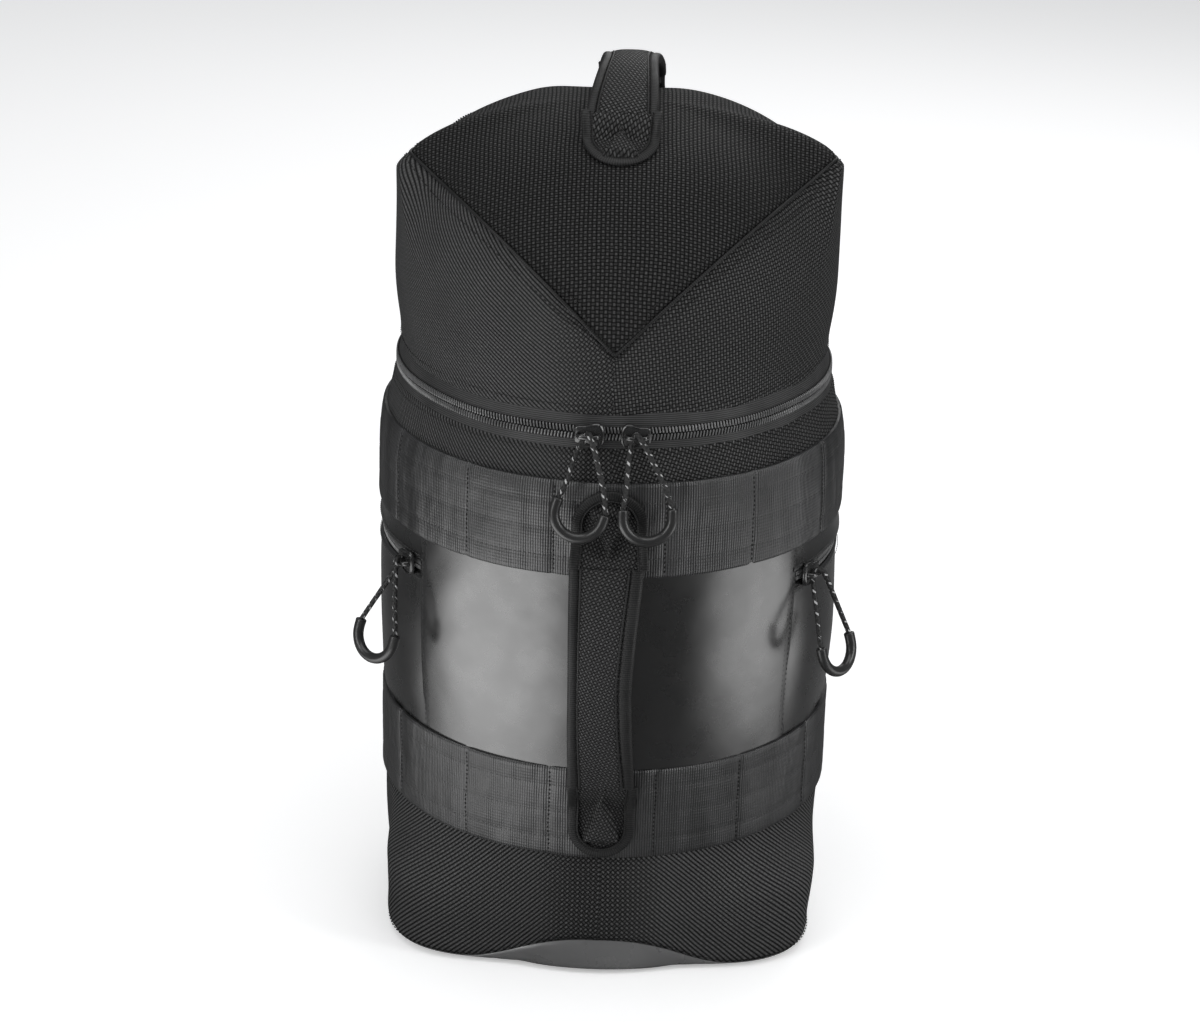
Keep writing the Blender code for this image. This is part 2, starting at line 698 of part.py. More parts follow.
def build_slider(name, origin, along, out, toward):
    """A tapered plate with a bail over it that the cord goes round. toward is +1 or -1 along the zip."""
    up = Vector((0, 0, 1))
    half, tall = SLIDER_LENGTH / 2, SLIDER_HEIGHT / 2
    outline = [(-half, -tall * 0.70), (-half * 0.2, -tall), (half * 0.8, -tall), (half, -tall * 0.75),
               (half, tall * 0.75), (half * 0.8, tall), (-half * 0.2, tall), (-half, tall * 0.70)]
    levels_out = (0.0, SLIDER_PLATE)
    rings = [[origin + along * a * toward + up * b + out * o for a, b in outline] for o in levels_out]
    plate = sweep_solid(name, rings, "zip_metal")
    reach = SLIDER_PLATE + BAR_STAND
    bend = 0.0022
    run = [(-half * 0.72, SLIDER_PLATE * 0.4), (-half * 0.72, reach - bend), (-half * 0.72 + bend, reach),
           (half * 0.72 - bend, reach), (half * 0.72, reach - bend), (half * 0.72, SLIDER_PLATE * 0.4)]
    path = [origin + along * a + out * o for a, o in run]
    bail = sweep_solid(name + "_bail", round_rings(path, BAR_RADIUS, 8), "zip_metal")
    bail.hide_render = True
    bail.display_type = "WIRE"
    join = plate.modifiers.new("bail", "BOOLEAN")
    join.operation = "UNION"
    join.object = bail
    return origin + out * reach


def pull_path(bar, along, out, tilt, lean, twist):
    """Closed centreline of the cord: over the bar, down both strands and round the grip's bend."""
    up = Vector((0, 0, 1))
    local = []  # (across, outward, up) from the bar, before the tilt
    for step in range(5):  # over the bar, from behind it to the front
        turn = math.pi * (1 - step / 4)
        over = (WRAP_RADIUS * math.cos(turn), WRAP_RADIUS * math.sin(turn))
        local.append((-0.0024 + 0.0048 * step / 4, *over))
    top = -PULL_DROP + GRIP_LEG
    fall = 0.0016
    for share in (0.22, 0.50, 0.78):
        outward = WRAP_RADIUS * (1 - share) + fall * share
        local.append((0.0024 + (GRIP_BEND - 0.0024) * share ** 0.9, outward, top * share))
    for step in range(9):
        turn = -math.pi * step / 8
        local.append((GRIP_BEND * math.cos(turn), fall, -PULL_DROP + GRIP_BEND * math.sin(turn)))
    local.insert(len(local) - 9, (GRIP_BEND, fall, top))
    local.append((-GRIP_BEND, fall, top))
    for share in (0.78, 0.50, 0.22):
        outward = fall * share - WRAP_RADIUS * (1 - share)
        local.append((-0.0024 - (GRIP_BEND - 0.0024) * share ** 0.9, outward, top * share))
    pose = Matrix.Rotation(math.radians(tilt), 3, -along) @ Matrix.Rotation(math.radians(lean), 3, out)
    made = []
    for across, outward, rise in local:
        share = min(1.0, max(0.0, -rise / PULL_DROP))
        swirl = math.radians(twist) * share * share * (3 - 2 * share)
        turned = along * (across * math.cos(swirl) - outward * math.sin(swirl))
        turned += out * (across * math.sin(swirl) + outward * math.cos(swirl))
        made.append(bar + pose @ (turned + up * rise))
    return made


def build_pull(prefix, bar, along, out, tilt, lean, twist):
    path = pull_path(bar, along, out, tilt, lean, twist)
    sweep_solid(f"{prefix}_cord", round_rings(path, CORD_RADIUS, 6, closed=True), "cord", closed=True)
    first = 5 + 3  # the grip covers the path from one leg's top to the other's
    bend = path[first:first + 11]
    outer = round_rings(bend, GRIP_RADIUS, 8)
    inner = round_rings(bend, GRIP_BORE * 1.08, 8)
    hollow_sweep(f"{prefix}_grip", outer, inner, "grip_plastic")


def build_sliders():
    """All four sliders with their pulls; returns where each pull's bar is."""
    bars = {}
    main_face = RADIUS + body_offset(ZIP_LINE) + SLIDER_CLEAR
    pocket_height = sum(POCKET_ZIP) / 2
    pocket_face = RADIUS + body_offset(pocket_height) + SLIDER_CLEAR - 0.0010
    for side, sign in (("left", -1), ("right", 1)):
        origin, along, out = slider_frame(sign * MAIN_SLIDER_ANGLE, ZIP_LINE, main_face)
        bar = build_slider(f"main_slider_{side}", origin, along, out, sign)
        bars[f"main_pull_{side}"] = bar
        build_pull(f"main_pull_{side}", bar, along, out, MAIN_TILT, sign * MAIN_LEAN, 0.0)
        origin, along, out = slider_frame(sign * POCKET_SLIDER_ANGLE, pocket_height, pocket_face)
        bar = build_slider(f"pocket_slider_{side}", origin, along, out, sign)
        bars[f"pocket_pull_{side}"] = bar
        build_pull(f"pocket_pull_{side}", bar, along, out, POCKET_TILT, 0.0, -sign * POCKET_TWIST)
    return bars


# --- Back pads and shoulder straps --------------------------------------------------------------------


def build_back_pads():
    for side, sign in (("left", -1), ("right", 1)):
        rings = []
        for h, grow in ((0.068, 0.55), (0.078, 1.0), (0.185, 1.0), (0.290, 1.0), (0.300, 0.55)):
            half, thick = 0.036 * (0.80 + 0.20 * grow), PAD_THICK / 2 * grow
            centre = Vector((sign * 0.048, PAD_FACE + thick, h))
            rings.append(placed(box_section(half, thick, 0.6), centre, Vector((1, 0, 0)), Vector((0, 1, 0))))
        sweep_solid(f"back_pad_{side}", rings, "mesh")


def strap_station(share, sign):
    """Centre and outward direction of a shoulder strap, share of the way from its top to its foot."""
    place = STRAP_TOP.lerp(STRAP_FOOT, share)
    bow = math.sin(math.pi * share) ** 0.75
    ahead = math.cos(math.pi * min(0.97, max(0.03, share)))
    place = place + Vector((-0.006 * math.sin(math.pi * share), STRAP_STAND * bow, 0))
    out = Vector((0, 1, 0.35 * ahead)).normalized()
    return Vector((sign * place.x, place.y, place.z)), out


def build_straps():
    for side, sign in (("left", -1), ("right", 1)):
        across = Vector((1, 0, 0))
        pad, web = [], []
        for step in range(11):
            share = STRAP_PAD_END * step / 10
            centre, out = strap_station(share, sign)
            narrow = 1 - 0.35 * max(0.0, step / 10 - 0.75) / 0.25 - 0.42 * max(0.0, 0.2 - step / 10) / 0.2
            ends = 0.45 if step in (0, 10) else 1.0
            section = box_section(STRAP_WIDTH / 2 * narrow, STRAP_THICK / 2 * ends, 0.6)
            pad.append(placed(section, centre, across, out))
        sweep_solid(f"strap_pad_{side}", pad, "mesh")
        lock_share = STRAP_PAD_END + 0.065
        centre, out = strap_station(lock_share, sign)
        build_ladder_lock(f"ladder_lock_{side}", centre, out)
        for step in range(7):
            share = lock_share + 0.065 + (1 - lock_share - 0.065) * step / 6
            centre, out = strap_station(share, sign)
            web.append(placed(box_section(WEB_WIDTH / 2, WEBBING / 2, 0.3), centre, across, out))
        sweep_solid(f"strap_web_{side}", web, "webbing")


def build_ladder_lock(name, centre, out):
    """A moulded frame with two slots, one each side of its middle bar."""
    width, thick, tall = LOCK_SIZE
    across = Vector((1, 0, 0))
    up = out.cross(across).normalized()

    def block(label, z, size):
        half_w, half_t, half_h = (side / 2 for side in size)
        section = box_section(half_w, half_t, 0.3)
        rings = [placed(section, centre + up * (z + end * half_h), across, out) for end in (-1, 1)]
        return sweep_solid(label, rings, "grip_plastic")

    frame = block(name, 0.0, LOCK_SIZE)
    slot = (width - 0.009, thick * 3, tall * 0.27)
    for label, sign in (("upper", 1), ("lower", -1)):
        cutter = block(f"{name}_{label}_slot", sign * tall * 0.22, slot)
        cutter.hide_render = True
        cutter.display_type = "WIRE"
        cut = frame.modifiers.new(label, "BOOLEAN")
        cut.operation = "DIFFERENCE"
        cut.object = cutter


def hang_on(pivot, *prefixes):
    """Puts the origin of each object whose name starts with a prefix on its joint's pivot."""
    for obj in bpy.data.objects:
        if obj.name.startswith(prefixes) and not obj.hide_render:
            obj.data.transform(Matrix.Translation(-pivot))
            obj.location = pivot


def place_origins(bars):
    """Moving pieces get their origin on their joint's axis; the sliders' axis is the bag's own."""
    hang_on(Vector((0, BACK_Y - 0.006, LID_BOTTOM)), "lid_", "top_handle_tab")
    moving = ("sleeve", "core", "binding")
    top = Vector((0, DOME_CENTRE_Y, TOP_AXIS))
    hang_on(top, *(f"top_handle_{piece}" for piece in moving))
    middle = sum(FRONT_GRIP) / 2
    hang_on(Vector((0, -FRONT_AXIS, middle)), *(f"front_handle_{piece}" for piece in moving))
    for prefix, bar in bars.items():
        hang_on(bar, prefix)
    for side, sign in (("left", -1), ("right", 1)):
        pivot = Vector((sign * STRAP_TOP.x, STRAP_TOP.y, STRAP_TOP.z))
        hang_on(pivot, f"strap_pad_{side}", f"strap_web_{side}", f"ladder_lock_{side}")


def main():
    clear_scene()
    build_base()
    build_wall_padding()
    build_boot()
    build_side_fabric()
    build_bands()
    build_main_zip()
    build_lid_fabric()
    build_lid_padding()
    build_front_handle()
    build_top_handle()
    bars = build_sliders()
    build_back_pads()
    build_straps()
    place_origins(bars)


main()
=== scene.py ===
"""Looks of the upright carry bag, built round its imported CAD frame.

Sheets are laid out on the bag's plan outline by arc length s (0 at the front's centre, positive to the
right) and height z, so each one's UV map is in metres and a weave or a rib has its true size everywhere.
"""

import json
import math

import bpy
import numpy as np
from mathutils import Matrix, Vector


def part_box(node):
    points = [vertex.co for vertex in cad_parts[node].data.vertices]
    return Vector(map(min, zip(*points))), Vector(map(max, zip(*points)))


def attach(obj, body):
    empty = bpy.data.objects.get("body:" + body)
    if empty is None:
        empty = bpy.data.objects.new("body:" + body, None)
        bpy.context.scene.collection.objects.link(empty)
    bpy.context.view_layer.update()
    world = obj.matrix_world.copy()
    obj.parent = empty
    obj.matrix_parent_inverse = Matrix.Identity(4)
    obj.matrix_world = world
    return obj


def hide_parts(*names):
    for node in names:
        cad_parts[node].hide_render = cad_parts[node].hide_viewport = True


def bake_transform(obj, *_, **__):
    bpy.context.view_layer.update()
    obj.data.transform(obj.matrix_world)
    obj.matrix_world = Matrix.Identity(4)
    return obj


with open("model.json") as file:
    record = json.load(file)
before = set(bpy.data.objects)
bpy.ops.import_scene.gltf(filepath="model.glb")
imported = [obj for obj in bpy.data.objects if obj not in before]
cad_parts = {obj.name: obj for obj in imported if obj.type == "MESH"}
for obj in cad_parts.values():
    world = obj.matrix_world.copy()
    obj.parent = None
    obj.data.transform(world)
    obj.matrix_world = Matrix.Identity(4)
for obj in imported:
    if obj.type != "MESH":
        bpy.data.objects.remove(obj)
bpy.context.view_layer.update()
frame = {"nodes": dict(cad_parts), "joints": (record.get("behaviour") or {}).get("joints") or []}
SIDES = (("left", -1), ("right", 1))
UP = np.array((0, 0, 1.0))

# --- Sizes read from the frame ------------------------------------------------------------------------


def span(node):
    low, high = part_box(node)
    return low.z, high.z


RADIUS = -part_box("front_panel")[0].y
BACK_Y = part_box("back_panel")[1].y
CORNER = 0.030  # radius of the two upright corners at the back
CORNER_Y = BACK_Y - CORNER
CORNER_X = math.sqrt((RADIUS - CORNER) ** 2 - CORNER_Y**2)
ARC_END = math.atan2(CORNER_X, -CORNER_Y)
ARC_LENGTH = RADIUS * ARC_END
HALF_LENGTH = ARC_LENGTH + CORNER * (math.pi - ARC_END) + CORNER_X
LOWER_BAND = span("lower_band")
UPPER_BAND = span("upper_band")
POCKET_ZIP = span("pocket_zip_left")
COLLAR_TOP = span("collar_panel")[1]
ZIP_LINE = (span("body_zip_tape")[1] + span("lid_zip_tape")[0]) / 2
LID_BOTTOM = span("lid_skirt")[0]
LID_TOP = span("lid_top_panel")[1]
HINGE_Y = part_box("hinge_tape")[1].y
SEAM_S = RADIUS * math.radians(52.0)  # where the front panel meets the pockets
ZIP_END_S = RADIUS * math.radians(124.8)  # where both zips end

# --- Random-looking but repeatable ripples ------------------------------------------------------------


def ripple(u, v, size, seed):
    """Soft folds about size metres long, from -1 to 1, as a sum of waves with a fixed seed."""
    rng = np.random.default_rng(seed)
    total = np.zeros(np.broadcast(u, v).shape)
    for _ in range(7):
        turn = rng.uniform(0, 2 * math.pi)
        wave = 2 * math.pi / (size * rng.uniform(0.7, 1.6))
        total += np.sin(wave * (u * math.cos(turn) + v * math.sin(turn)) + rng.uniform(0, 2 * math.pi))
    return total / 4.0


def bump_at(x, centre, width):
    return np.exp(-(((x - centre) / width) ** 2))


def smoothstep(x, low, high):
    t = np.clip((x - low) / (high - low), 0, 1)
    return t * t * (3 - 2 * t)


def unit(vectors):
    return vectors / np.maximum(np.linalg.norm(vectors, axis=-1), 1e-12)[..., None]


def run_length(points):
    """Distance along a polyline at each of its points."""
    return np.concatenate([[0], np.cumsum(np.linalg.norm(np.diff(points, axis=0), axis=1))])


# --- The bag's outline and profile --------------------------------------------------------------------


def outline(s):
    """Plan point and outward normal (x, y, nx, ny) at arc length s, which may run past the back's middle."""
    s = (np.asarray(s, float) + HALF_LENGTH) % (2 * HALF_LENGTH) - HALF_LENGTH
    a, side = np.abs(s), np.where(s < 0, -1.0, 1.0)
    on_arc = a <= ARC_LENGTH
    turn = np.where(on_arc, a / RADIUS, np.minimum(math.pi, ARC_END + (a - ARC_LENGTH) / CORNER))
    nx, ny = np.sin(turn), -np.cos(turn)
    x = np.where(on_arc, RADIUS * nx, CORNER_X + CORNER * nx)
    y = np.where(on_arc, RADIUS * ny, CORNER_Y + CORNER * ny)
    flat = a > ARC_LENGTH + CORNER * (math.pi - ARC_END)
    x = np.where(flat, HALF_LENGTH - a, x)
    return x * side, y, nx * side, ny


def outward(s):
    _, _, nx, ny = outline(s)
    return np.stack([nx, ny, np.zeros_like(nx)], -1)


def degrees_from_front(x, y):
    return np.abs(np.degrees(np.arctan2(x, -y)))


BODY_Z = (0.000, 0.003, 0.010, 0.020, 0.035, 0.090, 0.150, 0.200, 0.260, 0.335, 0.368, 0.3775)
BODY_IN = (-0.0166, -0.0082, -0.0072, -0.0072, -0.0055, -0.0034, -0.003, -0.001, 0.000, 0.000, -0.004, -0.006)
BODY_TOP = BODY_Z[-1]
BASE_FILL, FILL_ANGLE, FILL_SPREAD = 0.0246, 49.3, 31.5  # the boot's two full front corners
FILL_FADE = (0.048, 0.091)
SIDE_WAIST = 0.0036  # how far both sides are drawn in at the zip
BASE_SEAM, TONGUE_RISE, TONGUE_HALF = 0.0030, 0.0225, 0.090


def profile(z):
    """Offset of the body fabric at height z, with the profile's corners eased."""
    ease = np.minimum(0.006, np.asarray(z) * 0.3)
    return sum(np.interp(z + ease * k, BODY_Z, BODY_IN) for k in (-1, -0.5, 0, 0.5, 1)) / 5


def corner_fill(s, z):
    x, y, _, _ = outline(s)
    beside = np.minimum(1, np.abs(degrees_from_front(x, y) - FILL_ANGLE) / FILL_SPREAD)
    above = np.clip((z - FILL_FADE[0]) / (FILL_FADE[1] - FILL_FADE[0]), 0, 1)
    return BASE_FILL * np.cos(beside * math.pi / 2) ** 2 * np.cos(above * math.pi / 2) ** 2


def on_side(s, z, offset):
    x, y, nx, ny = outline(s)
    offset = offset - SIDE_WAIST * smoothstep(np.abs(x), 0.07, 0.13) * bump_at(z, 0.378, 0.035)
    return np.stack([x + nx * offset, y + ny * offset, np.broadcast_to(z, x.shape)], axis=-1)


def base_seam(s):
    """Height of the base's seam: low all round, rising in a tongue at the front."""
    x, y, _, _ = outline(s)
    share = np.clip(np.abs(x) / TONGUE_HALF, 0, 1)
    tongue = TONGUE_RISE * (0.5 + 0.5 * np.cos(math.pi * share**1.25))
    return BASE_SEAM + np.where(y < 0, tongue, 0)


# --- Meshes -------------------------------------------------------------------------------------------


def ticks(low, high, step, edge=(0.0005, 0.0012, 0.0025)):
    """Positions from low to high about step apart, with closer ones at both ends for a rolled edge."""
    inner = np.linspace(low + edge[-1], high - edge[-1], max(2, int((high - low) / step)))
    ends = np.array((0.0,) + edge[:-1])
    return np.concatenate([low + ends, inner, (high - ends)[::-1]])


def rolled(t, low, high, depth, width):
    """How far a sheet's edges roll inwards near low and high."""
    return depth * (bump_at(t, low, width) + bump_at(t, high, width))


def make_object(name, points, faces, loop_uv, look, body, nodes=()):
    """A mesh piece. body is the body it rides on, or a function that is called on the piece instead.
    nodes are the frame's nodes that it stands for."""
    mesh = bpy.data.meshes.new(name)
    mesh.from_pydata(np.asarray(points).tolist(), [], faces)
    if loop_uv is not None:
        layer = mesh.uv_layers.new(name="cloth")
        layer.data.foreach_set("uv", np.asarray(loop_uv, np.float32).ravel())
    mesh.shade_smooth()
    mesh.set_sharp_from_angle(angle=math.radians(52))
    mesh.materials.append(look[0])
    obj = bpy.data.objects.new(name, mesh)
    bpy.context.scene.collection.objects.link(obj)
    if callable(body):
        body(obj)
    else:
        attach(obj, body)
    if nodes:
        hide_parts(*nodes)


def bend_between(parent, child, start, end):
    """A function to call on a piece said to lie between two bodies; it only bakes the piece's transform
    into its mesh. parent, child, start and end are passed on but not used.
    """
    return lambda piece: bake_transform(piece, parent, child, start=tuple(start), end=tuple(end))


def signed_volume(points, quads):
    """Six times the volume inside closed quads, positive when they face out."""
    a, b, c, d = (points[quads[:, k]] for k in range(4))
    return np.einsum("ij,ij->", a, np.cross(b, c)) + np.einsum("ij,ij->", a, np.cross(c, d))


def grid_quads(table):
    """Corner indices of each cell of a grid of indices."""
    corners = [table[:-1, :-1], table[:-1, 1:], table[1:, 1:], table[1:, :-1]]
    return np.stack(corners, -1).reshape(-1, 4)


def shell(name, outer, inner, uv, look, body, wrap=False, caps=False, nodes=()):
    """A closed solid from two grids of points [row, column]. wrap joins the last column to the first; caps
    closes the last row of a wrapped grid at its own centre."""
    rows, cols = outer.shape[:2]
    count = rows * cols
    points = np.concatenate([outer.reshape(-1, 3), inner.reshape(-1, 3)])
    index = np.arange(count).reshape(rows, cols)
    if wrap:
        index = np.concatenate([index, index[:, :1]], axis=1)
    flat_uv = uv.reshape(-1, 2)
    uv_index = np.arange(flat_uv.shape[0]).reshape(rows, -1)

    quads = [grid_quads(index), grid_quads(index)[:, ::-1] + count]
    uvs = [grid_quads(uv_index), grid_quads(uv_index)[:, ::-1]]

    def close(line, uv_line, order, turned):
        """Faces between an edge's line of points and the same line on the other grid."""
        strip, uv_strip = [line[:-1], line[:-1] + count, line[1:] + count, line[1:]], [uv_line[:-1]] * 2
        strip, uv_strip = np.stack(strip, -1), np.stack(uv_strip + [uv_line[1:]] * 2, -1)
        way = -1 if turned else 1
        quads.append(strip[:, order][:, ::way])
        uvs.append(uv_strip[:, order][:, ::way])

    for r in [0] if caps else [0, rows - 1]:
        close(index[r], uv_index[r], [0, 1, 2, 3], r > 0)
    if not wrap:
        for c in (0, cols - 1):
            close(index[:, c], uv_index[:, c], [0, 3, 2, 1], c > 0)
    quads, uvs = np.concatenate(quads), np.concatenate(uvs)
    flip = signed_volume(points, quads) < 0
    if flip:
        quads, uvs = quads[:, ::-1], uvs[:, ::-1]
    faces, loops = quads.tolist(), flat_uv[uvs.reshape(-1)]
    if caps:
        points = np.concatenate([points, [outer[-1].mean(axis=0), inner[-1].mean(axis=0)]])
        extra = []
        for layer, tip in ((0, 2 * count), (count, 2 * count + 1)):
            ring = index[-1] + layer
            for k in range(len(ring) - 1):
                pair = (k + 1, k) if (layer > 0) != flip else (k, k + 1)
                faces.append([int(ring[pair[0]]), int(ring[pair[1]]), tip])
                extra += [uv[-1, pair[0]], uv[-1, pair[1]], uv[-1].mean(axis=0)]
        loops = np.concatenate([loops, np.array(extra)])
    make_object(name, points, faces, loops, look, body, nodes)


def side_shell(name, grid_s, grid_z, offset, thick, look, nodes=(), body="bag", wrap=False):
    """A sheet over the bag's side. A wrapped one's last column repeats the first, for the UV map only."""
    uv = np.stack([grid_s, grid_z], -1)
    if wrap:
        grid_s, grid_z, offset = grid_s[:, :-1], grid_z[:, :-1], offset[:, :-1]
    outer, inner = on_side(grid_s, grid_z, offset), on_side(grid_s, grid_z, offset - thick)
    shell(name, outer, inner, uv, look, body, wrap, nodes=nodes)


def round_trip(step=0.0026):
    """Positions right round the bag; the last is one whole turn after the first."""
    return np.linspace(-HALF_LENGTH, HALF_LENGTH, int(2 * HALF_LENGTH / step))


def taper(s):
    """0 at the back's middle, where a round sheet's two ends meet, and 1 away from it."""
    return np.clip((HALF_LENGTH - np.abs(s)) / 0.03, 0, 1)


# --- Tubes and swept strips ---------------------------------------------------------------------------


def sweep(name, rings, look, body, closed=False, turn_size=None, hollow=None, run_from=0.0, round_at=None,
          nodes=()):
    """A solid through rings of points [station, point]; hollow gives matching inner rings for a pipe. The UV
    map's u runs round the ring in metres, measured at ring round_at, or up to turn_size, and its v along the
    run in metres from run_from."""
    rings = np.asarray(rings, float)
    middles = rings.mean(axis=1)
    run = run_from + run_length(middles)
    measured = rings[len(rings) // 2 if round_at is None else round_at]
    around = run_length(np.concatenate([measured, measured[:1]]))
    if turn_size is not None:
        around = np.linspace(0, turn_size, len(around))
    if hollow is not None:
        uv = np.stack(np.meshgrid(around, run), -1)
        return shell(name, rings, np.asarray(hollow, float), uv, look, body, True, nodes=nodes)
    count, size = rings.shape[:2]
    index = np.arange(count * size).reshape(count, size)
    index = np.concatenate([index, index[:, :1]], axis=1)
    if closed:
        index = np.concatenate([index, index[:1]], axis=0)
        run = np.append(run, run[-1] + np.linalg.norm(middles[-1] - middles[0]))
    uv = np.stack(np.meshgrid(around, run), -1).reshape(-1, 2)
    uv_index = np.arange(len(uv)).reshape(index.shape)
    quads, uvs = grid_quads(index), grid_quads(uv_index)
    points = rings.reshape(-1, 3)
    flip = signed_volume(points - points.mean(axis=0), quads) < 0
    if flip:
        quads, uvs = quads[:, ::-1], uvs[:, ::-1]
    faces, loops = quads.tolist(), uv[uvs.reshape(-1)]
    if not closed:
        first, last = list(range(size)), list(range((count - 1) * size, count * size))
        faces += [first if flip else first[::-1], last[::-1] if flip else last]
        loops = np.concatenate([loops, np.zeros((2 * size, 2))])
    make_object(name, points, faces, loops, look, body, nodes)


def smooth_path(points, count, closed=False):
    """A Catmull-Rom curve through points, as count points."""
    p = np.asarray(points, float)
    n = len(p)
    t = np.linspace(0, n if closed else n - 1, count + (1 if closed else 0))
    t = t[:-1] if closed else t
    i = np.minimum(t.astype(int), n - 1 if closed else n - 2)
    f = (t - i)[:, None]
    a, b, c, d = (p[(i + k) % n] if closed else p[np.clip(i + k, 0, n - 1)] for k in (-1, 0, 1, 2))
    return 0.5 * (2 * b + (c - a) * f + (2 * a - 5 * b + 4 * c - d) * f**2 + (3 * b - a - 3 * c + d) * f**3)


def tube_rings(path, radius, sides, closed=False):
    """Rings round a path, each turned as little as possible from the one before."""
    path = np.asarray(path, float)
    if closed:
        tangent = unit(np.roll(path, -1, axis=0) - np.roll(path, 1, axis=0))
    else:
        tangent = unit(np.gradient(path, axis=0))
    side, frames = np.cross(tangent[0], (0.3, 0.2, 0.9)), []
    for t in tangent:
        side = side - t * np.dot(side, t)
        side /= np.linalg.norm(side)
        frames.append(side.copy())
    twist = 0.0
    if closed:
        t = tangent[0]
        end = frames[-1] - t * np.dot(frames[-1], t)
        twist = -math.atan2(np.dot(end, np.cross(t, frames[0])), np.dot(end, frames[0]))
    spokes = np.linspace(0, 2 * math.pi, sides, endpoint=False)
    rings, radius = [], np.broadcast_to(radius, len(path))
    for k, (point, t, a) in enumerate(zip(path, tangent, frames)):
        turn = spokes + twist * k / len(path)
        rings.append(point + radius[k] * (np.cos(turn)[:, None] * a + np.sin(turn)[:, None] * np.cross(t, a)))
    return np.array(rings)


def flat_section(left, right, half, sides=12, power=3.0):
    """A ring round a flat padded strip from left to right, half thick in its middle: (across, out)."""
    f = (1 - np.cos(np.linspace(0, math.pi, sides + 1))) / 2
    a = left + (right - left) * f
    b = half * (1 - np.abs(2 * f - 1) ** power) ** (1 / power)
    return np.concatenate([a, a[1:-1][::-1]]), np.concatenate([b, -b[1:-1][::-1]])


def place_rings(centres, across, out, sections):
    """Rings at the centres from their sections; one section alone is used at every centre."""
    if isinstance(sections, tuple):
        sections = [sections] * len(centres)
    rings = zip(centres, across, out, sections)
    return np.array([c + np.outer(wide, a) + np.outer(deep, o) for c, a, o, (wide, deep) in rings])


# --- Threads: one mesh for each seam's stitches or each half of a zip ---------------------------------

STITCH = ((-0.5, -0.6, 0.35), (-0.32, 0.35, 0.9), (0, 0.75, 1.0), (0.32, 0.35, 0.9), (0.5, -0.6, 0.35))
COIL_LOOP = ((-0.5, 0.0, 0.65), (-0.42, 0.35, 0.95), (0.0, 0.55, 1.0), (0.36, 0.55, 1.1), (0.46, 0.35, 0.9),
             (0.5, 0.1, 0.5))
THREAD_SIDES = 5
# Stitch sizes: spacing, length and thickness.
SEAM_STITCH = (0.0038, 0.0024, 0.00042)
BASE_STITCH = (0.0040, 0.0024, 0.00042)
ROW_STITCH = (0.0033, 0.0023, 0.00030)
TACK_STITCH = (0.0030, 0.0023, 0.00062)
PANEL_STITCH = (0.0036, 0.0026, 0.00028)
POCKET_STITCH = (0.0034, 0.0024, 0.00028)
COLLAR_STITCH = (0.0036, 0.0026, 0.00026)
HANDLE_STITCH = (0.0030, 0.0021, 0.00026)
TAB_STITCH = (0.0029, 0.0021, 0.00026)


def threads(name, middles, along, normals, length, thick, look, body, shape=STITCH, sink=0.0):
    """Short bent threads, one at each middle. shape lists (place along, height, fatness) shares."""
    normals = unit(normals - along * np.sum(normals * along, axis=1)[:, None])
    across = np.cross(along, normals)
    spokes = np.linspace(0, 2 * math.pi, THREAD_SIDES, endpoint=False)
    turned = across[:, None] * np.cos(spokes)[:, None] + normals[:, None] * np.sin(spokes)[:, None]
    rings = []
    for where, lift, fat in shape:
        centre = middles + along * where * length + normals * (lift * thick - sink)
        rings.append(centre[:, None] + turned * thick * fat)
    points = np.stack(rings, axis=1)
    size = len(shape) * THREAD_SIDES
    quads = []
    for r in range(len(shape) - 1):
        for k in range(THREAD_SIDES):
            p, q = r * THREAD_SIDES + k, r * THREAD_SIDES + (k + 1) % THREAD_SIDES
            quads.append((p, q, q + THREAD_SIDES, p + THREAD_SIDES))
    ends = [list(range(THREAD_SIDES))[::-1], list(range(size - THREAD_SIDES, size))]
    first = points[0].reshape(-1, 3)
    if signed_volume(first - first.mean(axis=0), np.array(quads)) < 0:
        quads, ends = [q[::-1] for q in quads], [e[::-1] for e in ends]
    starts = (np.arange(len(middles)) * size)[:, None, None]
    faces = (starts + np.array(quads)).reshape(-1, 4).tolist()
    faces += (starts + ends).reshape(-1, THREAD_SIDES).tolist()
    make_object(name, points.reshape(-1, 3), faces, None, look, body)


def stitches(name, runs, look, body, size):
    """Threads along runs of (points, normals) polylines."""
    pitch, length, thick = size
    middles, ways, outs = [], [], []
    for points, normals in runs:
        run = run_length(points)
        at = np.arange(pitch * 0.6, run[-1] - pitch * 0.5, pitch)

        def taken(values, where):
            return np.stack([np.interp(where, run, values[:, c]) for c in range(3)], -1)

        before, middle, after = (taken(points, at + k * length / 2) for k in (-1, 0, 1))
        middles.append(middle)
        ways.append(unit(after - before))
        outs.append(taken(normals, at))
    gathered = [np.concatenate(group) for group in (middles, ways, outs)]
    threads(name, *gathered, length, thick, look, body, sink=thick * 0.3)


def seam_run(s, z, lift):
    """A polyline on the bag's side, with its outward normals, for stitches."""
    s, z = np.broadcast_arrays(np.asarray(s, float), np.asarray(z, float))
    return on_side(s, z, lift), outward(s)


def teeth(name, span_s, z, lift, pitch, reach, offset, body):
    """One half of a coil: loops standing on the tape, each reaching almost to the middle of the zip."""
    count = int((span_s[1] - span_s[0]) / pitch)
    s = span_s[0] + pitch * (np.arange(count) + (0.25 if lift > 0 else 0.75))
    slant = 0.00036
    low = on_side(s - slant, z + lift * reach * 2.05, profile(z) + offset)
    high = on_side(s + slant, z + lift * reach * 0.12, profile(z) + offset)
    threads(name, (low + high) / 2, unit(high - low), outward(s), reach * 1.93, pitch * 0.27, COIL, body,
            COIL_LOOP)


# --- Materials: small graphs of shader nodes ----------------------------------------------------------


